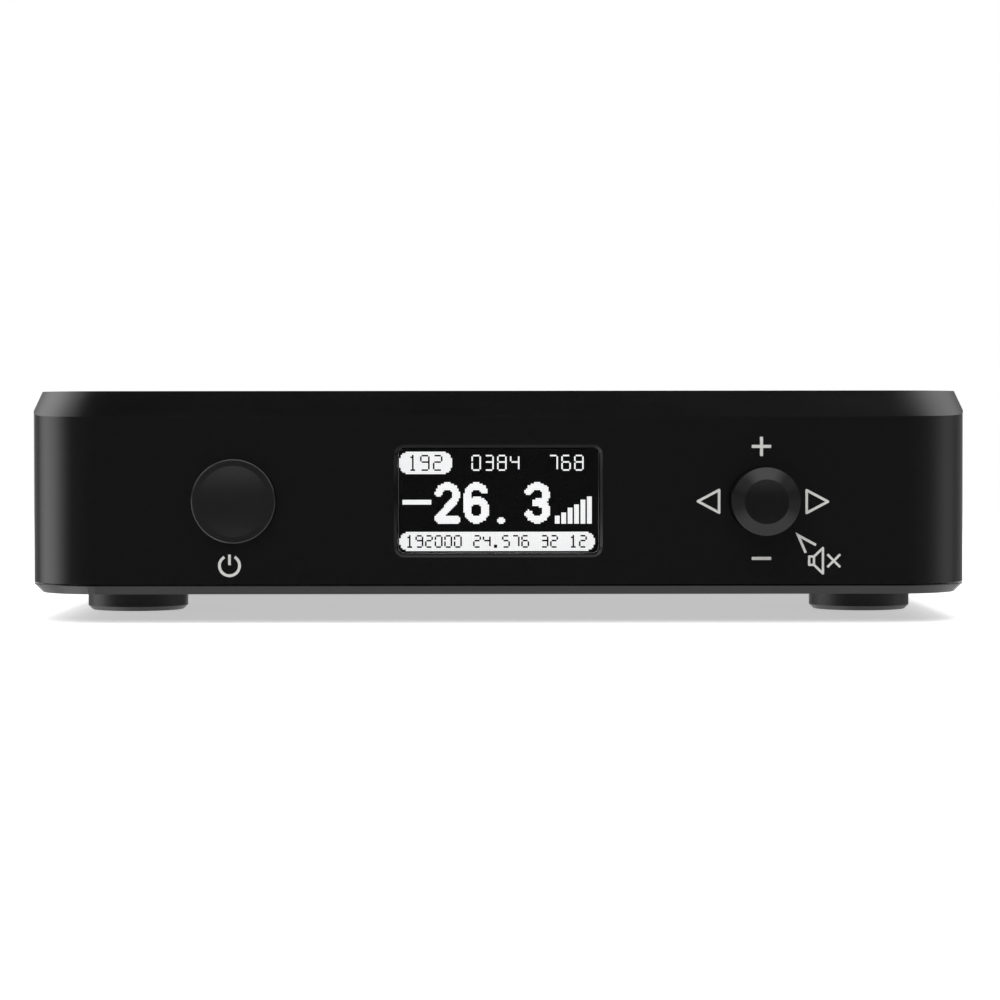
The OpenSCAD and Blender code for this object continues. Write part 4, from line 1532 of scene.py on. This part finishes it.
@dataclass
class Display(Assembly):
    """Dot-matrix display: dark panel behind the window, with lit dots that show plain figures.

    The picture's places and sizes are in dots, from its upper left corner.

    Args:
        camera: The camera through which the picture is placed.
        pitch: Distance between dots, in millimetres.
        fill: Share of the pitch that a dot fills.
        dot_height: How far a dot stands on the panel, in millimetres.
        dot_sunk: How far its back lies in the panel, as a share of that.
        tab_figure: Columns and rows of a small figure at the top, and columns from one to the next.
        rate_figure: The same for the figures along the bottom.
        bold_size: Columns and rows of a large figure.
        bold_reach: Half the width of its lines.
        lit: The dots that are lit, as (column, row).
        segments: Which of the seven bars, a to g, make each small figure but 1.
    """

    camera: MainCamera
    pitch: float = 0.1757
    fill: float = 0.94
    dot_height: float = 0.03
    dot_sunk: float = 0.2
    tab_figure: tuple[int, int, int] = (6, 10, 8)
    rate_figure: tuple[int, int, int] = (5, 8, 6)
    bold_size: tuple[int, int] = (17, 26)
    bold_reach: float = 2.3
    lit: Dots = field(default_factory=set)

    segments: ClassVar[dict[str, str]] = {
        "0": "abcdef", "2": "abged", "3": "abgcd", "4": "fgbc", "5": "afgcd", "6": "afgedc",
        "7": "abc", "8": "abcdefg", "9": "gfabcd",
    }

    finishes = {
        LENS: ("display_window",),
        PANEL_GLASS: ("display_panel",),
        FOAM: ("display_gasket", "display_backing_pad"),
        FILM: ("display_ribbon",),
    }

    def build(self) -> None:
        """Dresses the display's nodes and lights its dots."""
        super().build()
        self.tabs()
        self.level_figures()
        self.level_bars()
        self.rate_bar()
        self.dots()

    def block(self, left: int, top: int, width: int, height: int, corner: int = 0) -> Dots:
        """Dots of a filled block with stepped round ends.

        Args:
            left: First column.
            top: First row.
            width: Number of columns.
            height: Number of rows.
            corner: Radius of the corners, in dots.

        Returns:
            The dots as (column, row).
        """
        dots = set()
        for c in range(width):
            for r in range(height):
                dx = max(corner - 0.5 - c, c - (width - corner - 0.5), 0)
                dy = max(corner - 0.5 - r, r - (height - corner - 0.5), 0)
                if math.hypot(dx, dy) <= corner:
                    dots.add((left + c, top + r))
        return dots

    def figures(self, text: str, left: int, top: int, form: tuple[int, int, int]) -> Dots:
        """Dots of a line of plain figures with strokes one dot wide.

        Args:
            text: Figures, points and spaces.
            left: First column.
            top: First row.
            form: Columns and rows of a figure, and columns from one to the next.

        Returns:
            The dots as (column, row).
        """
        width, height, step = form
        right, middle, bottom = width - 1, (height - 1) // 2, height - 1
        bars = {
            "a": [(c, 0) for c in range(1, right)],
            "g": [(c, middle) for c in range(1, right)],
            "d": [(c, bottom) for c in range(1, right)],
            "f": [(0, r) for r in range(1, middle)],
            "b": [(right, r) for r in range(1, middle)],
            "e": [(0, r) for r in range(middle + 1, bottom)],
            "c": [(right, r) for r in range(middle + 1, bottom)],
        }
        dots = set()
        for place, figure in enumerate(text):
            start = left + place * step
            if figure == ".":
                dots |= {(start + c, top + r) for c in (1, 2) for r in (bottom - 1, bottom)}
            if figure == "1":
                dots |= {(start + width // 2, top + r) for r in range(height)}
                dots |= {(start + width // 2 - 1, top + 1)}
                dots |= {(start + c, top + bottom) for c in range(width // 2 - 1, width // 2 + 2)}
            elif figure in self.segments:
                for bar in self.segments[figure]:
                    dots |= {(start + c, top + r) for c, r in bars[bar]}
                if "b" in self.segments[figure] and "c" in self.segments[figure]:
                    dots.add((start + right, top + middle))
        return dots

    def tabs(self) -> None:
        """Three inputs along the top, the first of them chosen."""
        chosen = self.block(left=3, top=1, width=33, height=14, corner=6)
        self.lit |= chosen - self.figures("192", left=8, top=3, form=self.tab_figure)
        self.lit |= self.figures("0384", left=48, top=3, form=self.tab_figure)
        self.lit |= self.figures("768", left=96, top=3, form=self.tab_figure)

    def level_figures(self) -> None:
        """The large figures in the middle."""
        two = arc((8.0, 18.0), (5.6, 5.6), 165, -35, 20) + [(2.6, 3.8), (2.6, 2.6), (13.8, 2.6)]
        six = arc((8.2, 17.4), (5.6, 6.1), 35, 180, 16) + arc((8.2, 8.6), (5.6, 6.1), 180, 540, 36)
        three = arc((8.0, 18.1), (5.6, 5.5), 160, -75, 24) + [(7.0, 13.1)]
        three += arc((8.0, 8.2), (5.8, 5.6), 78, -160, 24)
        self.lit |= self.block(left=5, top=31, width=18, height=3)
        self.lit |= self.block(left=64, top=42, width=5, height=4, corner=2)
        for path, left in ((two, 25), (six, 43), (three, 81)):
            self.bold_path(path, left, top=20)

    def bold_path(self, path: Loop2, left: int, top: int) -> None:
        """Lights the dots near a path.

        Args:
            path: Line in dots, x from the figure's left and y from its foot.
            left: The figure's first column.
            top: Top row of the figure.
        """
        wide, tall = self.bold_size
        for c in range(wide):
            for r in range(tall):
                if distance_to((c + 0.5, tall - r - 0.5), path) <= self.bold_reach:
                    self.lit.add((left + c, top + r))

    def level_bars(self) -> None:
        """Rising bars that stand where the unit would be."""
        lowest, rise, foot = 5, 2.4, 46
        for k in range(6):
            height = lowest + round(k * rise)
            self.lit |= self.block(left=100 + 4 * k, top=foot - height, width=3, height=height)

    def rate_bar(self) -> None:
        """Line of small figures, dark on a lit bar."""
        bar = self.block(left=3, top=51, width=122, height=12, corner=6)
        self.lit |= bar - self.figures("192000 24.576 32 12", left=7, top=53, form=self.rate_figure)

    def dots(self) -> None:
        """Makes a small closed block for each lit dot, on the panel and about the picture's image point."""
        panel = frame["nodes"]["display_panel"]
        place, _ = self.camera.place_on(panel, IMAGE_POINTS["display_picture"])
        middle_c, middle_r = ((min(line) + max(line) + 1) / 2 for line in zip(*self.lit))
        half = self.pitch * self.fill / 2
        mesh = bmesh.new()
        for c, r in sorted(self.lit):
            x = place.x / MM + (c + 0.5 - middle_c) * self.pitch
            z = place.z / MM - (r + 0.5 - middle_r) * self.pitch
            y = place.y / MM
            low = Vector((x - half, y - self.dot_height, z - half)) * MM
            high = Vector((x + half, y + self.dot_height * self.dot_sunk, z + half)) * MM
            add_box(mesh, low, high)
        finished_piece("display_picture", mesh, LIT.material(), CASE)


def distance_to(point: Point2, path: Loop2) -> float:
    """Distance from a point to a line.

    Args:
        point: The point.
        path: The line's points.

    Returns:
        The distance to the nearest stretch.
    """
    best = math.inf
    for a, b in zip(path, path[1:]):
        dx, dy = b[0] - a[0], b[1] - a[1]
        along = ((point[0] - a[0]) * dx + (point[1] - a[1]) * dy) / max(dx * dx + dy * dy, 1e-9)
        along = min(1.0, max(0.0, along))
        best = min(best, math.hypot(point[0] - a[0] - along * dx, point[1] - a[1] - along * dy))
    return best


@dataclass
class Controls(Assembly):
    """Power button and five-way joystick with what moves behind them.

    Args:
        button_roughness: Roughness of the button's cap.
        button_colour: Its colour.
        knob_roughness: Roughness of the joystick's knob.
        knob_colour: Its colour.
        wear_and_highlight_edge: Lighter colour painted on their edges, a painted edge highlight.
    """

    button_roughness: float = 0.22
    button_colour: Colour = (0.0082, 0.0082, 0.0086)
    knob_roughness: float = 0.16
    knob_colour: Colour = (0.0045, 0.0045, 0.0048)
    wear_and_highlight_edge: Colour = (0.03, 0.03, 0.031)

    finishes = {
        WHITE_PLASTIC: ("power_switch_plunger", "joystick_rocker", "joystick_gimbal_ring"),
        BLACK_PLASTIC: ("power_switch_body", "joystick_housing"),
        STEEL: ("joystick_stem", "joystick_cover_plate"),
    }

    def build(self) -> None:
        """Dresses the nodes, the two caps with turned marks about their own axes."""
        super().build()
        caps = (("power_button_cap", self.button_colour, self.button_roughness),
                ("joystick_knob", self.knob_colour, self.knob_roughness))
        # The caps' edges are painted lighter: a painted edge highlight on new parts.
        for node, colour, roughness in caps:
            dress(node, Finish(f"{node}_turned", colour, roughness, grain=7000.0, depth=2e-6, wear_and_highlight=0.5,
                               wear_and_highlight_colour=self.wear_and_highlight_edge, lines=Lines.TURNED, pitch=2.6e-5, line_depth=2.5e-7,
                               centre=tuple(middle_of(node)), calm=9e-4))


@dataclass
class RearSockets(Assembly):
    """Sockets on the rear panel: washers, contacts and the plain print under them.

    Args:
        ink: The ink of the print.
        print_drop: Height of the print's middle above the desk, in millimetres.
        washer_inner: Inner radius of a phono jack's washer, in millimetres.
        washer_outer: Its outer radius.
        washer_thick: Its thickness.
        washer_edge: Width of its cut edges.
        figure_height: Height of a printed figure.
        figure_stroke: Width of its lines.
        sign_stroke: Width of the polarity symbol's lines.
        figures: The sockets that have a figure, and the figure.
        triangle: Corners of the mark of an output.
        contact_rows: Middles of the data contacts on each face of the tongue, as shares of its width.
        contact_half: Half the width of a contact, as a share of the tongue's.
        contact_ends: How far its front and back end lie inside the tongue's, as shares of its length.
        contact_thick: Its thickness, half of it sunk into the tongue, in millimetres.
        contact_edge: Width of its cut edges, in millimetres.
    """

    ink: Ink = Ink()
    print_drop: float = 7.3
    washer_inner: float = 4.32
    washer_outer: float = 5.25
    washer_thick: float = 0.45
    washer_edge: float = 0.1
    figure_height: float = 1.7
    figure_stroke: float = 0.26
    sign_stroke: float = 0.22
    figures: tuple[tuple[str, str], ...] = (
        ("data_socket_shell", "1"), ("optical_socket_body", "2"), ("coaxial_jack_shell", "3"))
    triangle: tuple[Point2, ...] = ((-0.65, 0.75), (0.75, 0.0), (-0.65, -0.75))
    contact_rows: tuple[float, float] = (0.28, 0.72)
    contact_half: float = 0.13
    contact_ends: tuple[float, float] = (0.25, 0.06)
    contact_thick: float = 0.08
    contact_edge: float = 0.015

    finishes = {
        STEEL: ("data_socket_shell", "optical_shutter_pin", "supply_jack_pin"),
        GOLD: ("coaxial_jack_shell", "coaxial_jack_contact", "left_jack_shell", "left_jack_contact",
               "right_jack_shell", "right_jack_contact"),
        BLACK_PLASTIC: ("supply_jack_body", "data_socket_insert", "optical_socket_body", "optical_shutter",
                        "coaxial_jack_insulator", "jack_blocks"),
        WHITE_PLASTIC: ("data_socket_tongue", "left_jack_insulator"),
        RED_PLASTIC: ("right_jack_insulator",),
    }

    def build(self) -> None:
        """Dresses the nodes and adds the contacts, the washers and the print."""
        super().build()
        self.data_contacts()
        self.washers()
        for node, figure in self.figures:
            self.mark(f"rear_figure_{figure}", [self.figure(figure)], node)
        for side in ("left", "right"):
            region = Stroke(self.triangle, self.figure_stroke, True).region()
            self.mark(f"rear_output_{side}", [region], f"{side}_jack_shell")
        self.polarity()

    def mark(self, name: str, regions: list[list[Loop2]], node: str) -> None:
        """Prints a drawing under a socket.

        Args:
            name: Name of the piece.
            regions: What is printed.
            node: The socket it stands under.
        """
        place = Vector((middle_of(node).x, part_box("rear_panel")[1].y, self.print_drop * MM))
        self.ink.print(name, regions, place, Vector((0.0, 1.0, 0.0)))

    def figure(self, figure: str) -> list[Loop2]:
        """Outline of a plain figure from 1 to 3.

        Args:
            figure: The figure.

        Returns:
            Its region, in millimetres.
        """
        half = self.figure_height / 2 - self.figure_stroke / 2
        bowl = half / 2
        upper, lower, round_bowl = (0.0, half - bowl), (0.0, bowl - half), (bowl, bowl)
        flag = (-0.35, half * 0.6)
        lines = {
            "1": [flag, (0.0, half), (0.0, -half)],
            "2": arc(upper, round_bowl, 165, -35, steps=12) + [(-bowl, -half), (bowl, -half)],
            "3": arc(upper, round_bowl, 150, -80, steps=12) + arc(lower, round_bowl, 80, -150, steps=12),
        }
        return Stroke(lines[figure], self.figure_stroke).region()

    def polarity(self) -> None:
        """Prints the supply socket's polarity: a minus, a ring round a dot and a plus."""
        half = self.sign_stroke / 2
        ring_radius, dot_radius = 0.95, 0.32
        plus_at, plus_reach = 2.9, 0.55

        def dash(start: float, end: float) -> list[Loop2]:
            """Level line from start to end."""
            return [[(start, -half), (end, -half), (end, half), (start, half)]]

        ring = Stroke(arc((0.0, 0.0), (ring_radius,) * 2, 40, 320, steps=30), self.sign_stroke).region()
        dot = [arc((0.0, 0.0), (dot_radius,) * 2, 0, 345, steps=23)]
        plus = [[(x + plus_at, y) for x, y in plus_outline(plus_reach, self.sign_stroke)]]
        dot_line, ring_line, minus = dash(0.4, 2.0), dash(-2.0, -1.0), dash(-3.45, -2.35)
        self.mark("rear_polarity", [ring, dot, dot_line, ring_line, plus, minus], "supply_jack_body")

    def washers(self) -> None:
        """Plated washer round each phono jack, against the panel."""
        panel_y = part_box("rear_panel")[1].y
        inner, outer, thick, edge = self.washer_inner, self.washer_outer, self.washer_thick, self.washer_edge
        profile = [(inner, 0.0), (outer, 0.0), (outer, thick - edge), (outer - edge, thick),
                   (inner + edge, thick), (inner, thick - edge)]
        for name in ("left", "right", "coaxial"):
            middle = middle_of(f"{name}_jack_contact")

            def lift(x: float, z: float, height: float) -> Vector:
                """Place of a point of the washer, height out from the panel."""
                return Vector((middle.x + x * MM, panel_y + height * MM, middle.z + z * MM))

            mesh = bmesh.new()
            add_turned(mesh, profile, lift)
            finished_piece(f"{name}_jack_washer", mesh, STEEL.material(), CASE)

    def data_contacts(self) -> None:
        """Four plated strips on the data socket's tongue."""
        low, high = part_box("data_socket_tongue")
        span = high - low
        half = Vector((span.x * self.contact_half, 0.0, self.contact_thick / 2 * MM))
        front, back = (span.y * share for share in self.contact_ends)
        mesh = bmesh.new()
        for face in (high.z, low.z):
            for row in self.contact_rows:
                x = low.x + span.x * row
                start = Vector((x, low.y + front, face)) - half
                end = Vector((x, high.y - back, face)) + half
                add_box(mesh, start, end, self.contact_edge * MM)
        finished_piece("data_contacts", mesh, GOLD.material(), CASE)


# ---------------------------------------------------------------- checks of the image points


@dataclass
class PointReport:
    """Measures how far each thing shows from its image point.

    Args:
        camera: The main camera.
        clear: Names of pieces that are seen through.
        layers: Most surfaces that a line of sight goes through.
        slack: How far short of a place a line of sight ends, in metres.
        step: How far past a clear surface it goes on, in metres.
        far: Length of a line of sight that nothing ends, in metres.
        samples: Rays across the longer side of a piece.
        finest: Least distance between rays, in pixels of the photograph.
    """

    camera: MainCamera
    clear: tuple[str, ...] = ("display_window",)
    layers: int = 6
    slack: float = 2e-5
    step: float = 1e-6
    far: float = 100.0
    samples: int = 90
    finest: float = 0.25

    def first_hit(self, start: Vector, direction: Vector, reach: float, wanted: str = "") -> Optional[str]:
        """First thing on a line of sight that is opaque or is the wanted one.

        Args:
            start: Where the line starts.
            direction: Its direction, of length one.
            reach: Its length, in metres.
            wanted: Name of a piece that counts though it may be clear.

        Returns:
            The thing's name, None where nothing is hit, or "" where too many clear surfaces are.
        """
        scene = bpy.context.scene
        depsgraph = bpy.context.evaluated_depsgraph_get()
        for _ in range(self.layers):
            hit, where, _, _, piece, _ = scene.ray_cast(depsgraph, start, direction, distance=reach)
            if not hit:
                return None
            if piece.name == wanted or piece.name not in self.clear:
                return piece.name
            reach -= (where - start).length + self.step
            start = where + direction * self.step
        return ""

    def shows(self, place: Vector) -> bool:
        """Whether nothing opaque stands between the camera and a place.

        Args:
            place: The place, in metres.

        Returns:
            True where the place shows.
        """
        eye = self.camera.camera.matrix_world.translation
        away = place - eye
        return self.first_hit(eye, away.normalized(), away.length - self.slack) is None

    def middle(self, piece: bpy.types.Object) -> Point2:
        """Middle of what shows of a piece, by rays through the picture.

        Args:
            piece: The piece.

        Returns:
            Its x and y in the photograph's frame.
        """
        found = [seen for seen, _ in self.vertices([piece])]
        low, high = ([pick(seen[axis] for seen in found) for axis in (0, 1)] for pick in (min, max))
        step = max(self.finest, max(high[0] - low[0], high[1] - low[1]) / self.samples)
        across, down = ([low[axis] + step * (k + 0.5) for k in range(int((high[axis] - low[axis]) / step))]
                        for axis in (0, 1))
        seen = [(x, y) for x in across for y in down
                if self.first_hit(*self.camera.ray(x, y), self.far, piece.name) == piece.name]
        if not seen:
            return math.nan, math.nan
        return tuple((min(s[axis] for s in seen) + max(s[axis] for s in seen)) / 2 for axis in (0, 1))

    def vertices(self, pieces: Iterable[bpy.types.Object]) -> list[tuple[Point2, Vector]]:
        """Image points and places of the finished vertices of pieces.

        Args:
            pieces: The pieces.

        Returns:
            An image point and a place for each vertex.
        """
        depsgraph = bpy.context.evaluated_depsgraph_get()
        result = []
        for piece in pieces:
            final = piece.evaluated_get(depsgraph)
            mesh = final.to_mesh()
            for vert in mesh.vertices:
                place = piece.matrix_world @ vert.co
                result.append((self.camera.seen_at(place), place))
            final.to_mesh_clear()
        return result

    def edge(self, found: list[tuple[Point2, Vector]], axis: int, sign: float) -> float:
        """Furthest image x or y of what shows.

        Args:
            found: Image points and places.
            axis: 0 for x, 1 for y.
            sign: 1 for the highest value, -1 for the lowest.

        Returns:
            The value.
        """
        for seen, place in sorted(found, key=lambda entry: -sign * entry[0][axis]):
            if self.shows(place):
                return seen[axis]
        return math.nan

    def write(self) -> None:
        pieces = [o for o in bpy.context.scene.objects
                  if o.type == "MESH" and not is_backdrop(o) and not o.hide_render]
        every = self.vertices(pieces)
        named = {"power_button": "power_button_cap", "window": "display_window",
                 "left_front_foot": "foot_front_left", "right_front_foot": "foot_front_right"}
        whole = {"object_left": (0, -1), "object_right": (0, 1),
                 "object_top": (1, -1), "object_bottom": (1, 1)}
        report = {}
        for name, (x, y) in IMAGE_POINTS.items():
            if name in whole:
                axis, sign = whole[name]
                value = self.edge(every, axis, sign)
                target = x if axis == 0 else y
                report[name] = {"x" if axis == 0 else "y": round(value - target, 2)}
            else:
                middle = self.middle(bpy.data.objects[named.get(name, name)])
                report[name] = {"x": round(middle[0] - x, 2), "y": round(middle[1] - y, 2)}
        for name, offset in report.items():
            log.info("point %s: %s", name, offset)


def main() -> None:
    """Builds the scene: camera, studio and each sub-assembly, then writes what it measures."""
    logging.basicConfig(level=logging.INFO, format="%(message)s")
    camera = MainCamera()
    camera.build()
    Studio().build()
    Enclosure().build()
    Boards().build()
    Controls().build()
    RearSockets().build()
    Display(camera).build()
    FrontPrint(camera).build()
    PointReport(camera).write()


if __name__ == "__main__":
    main()
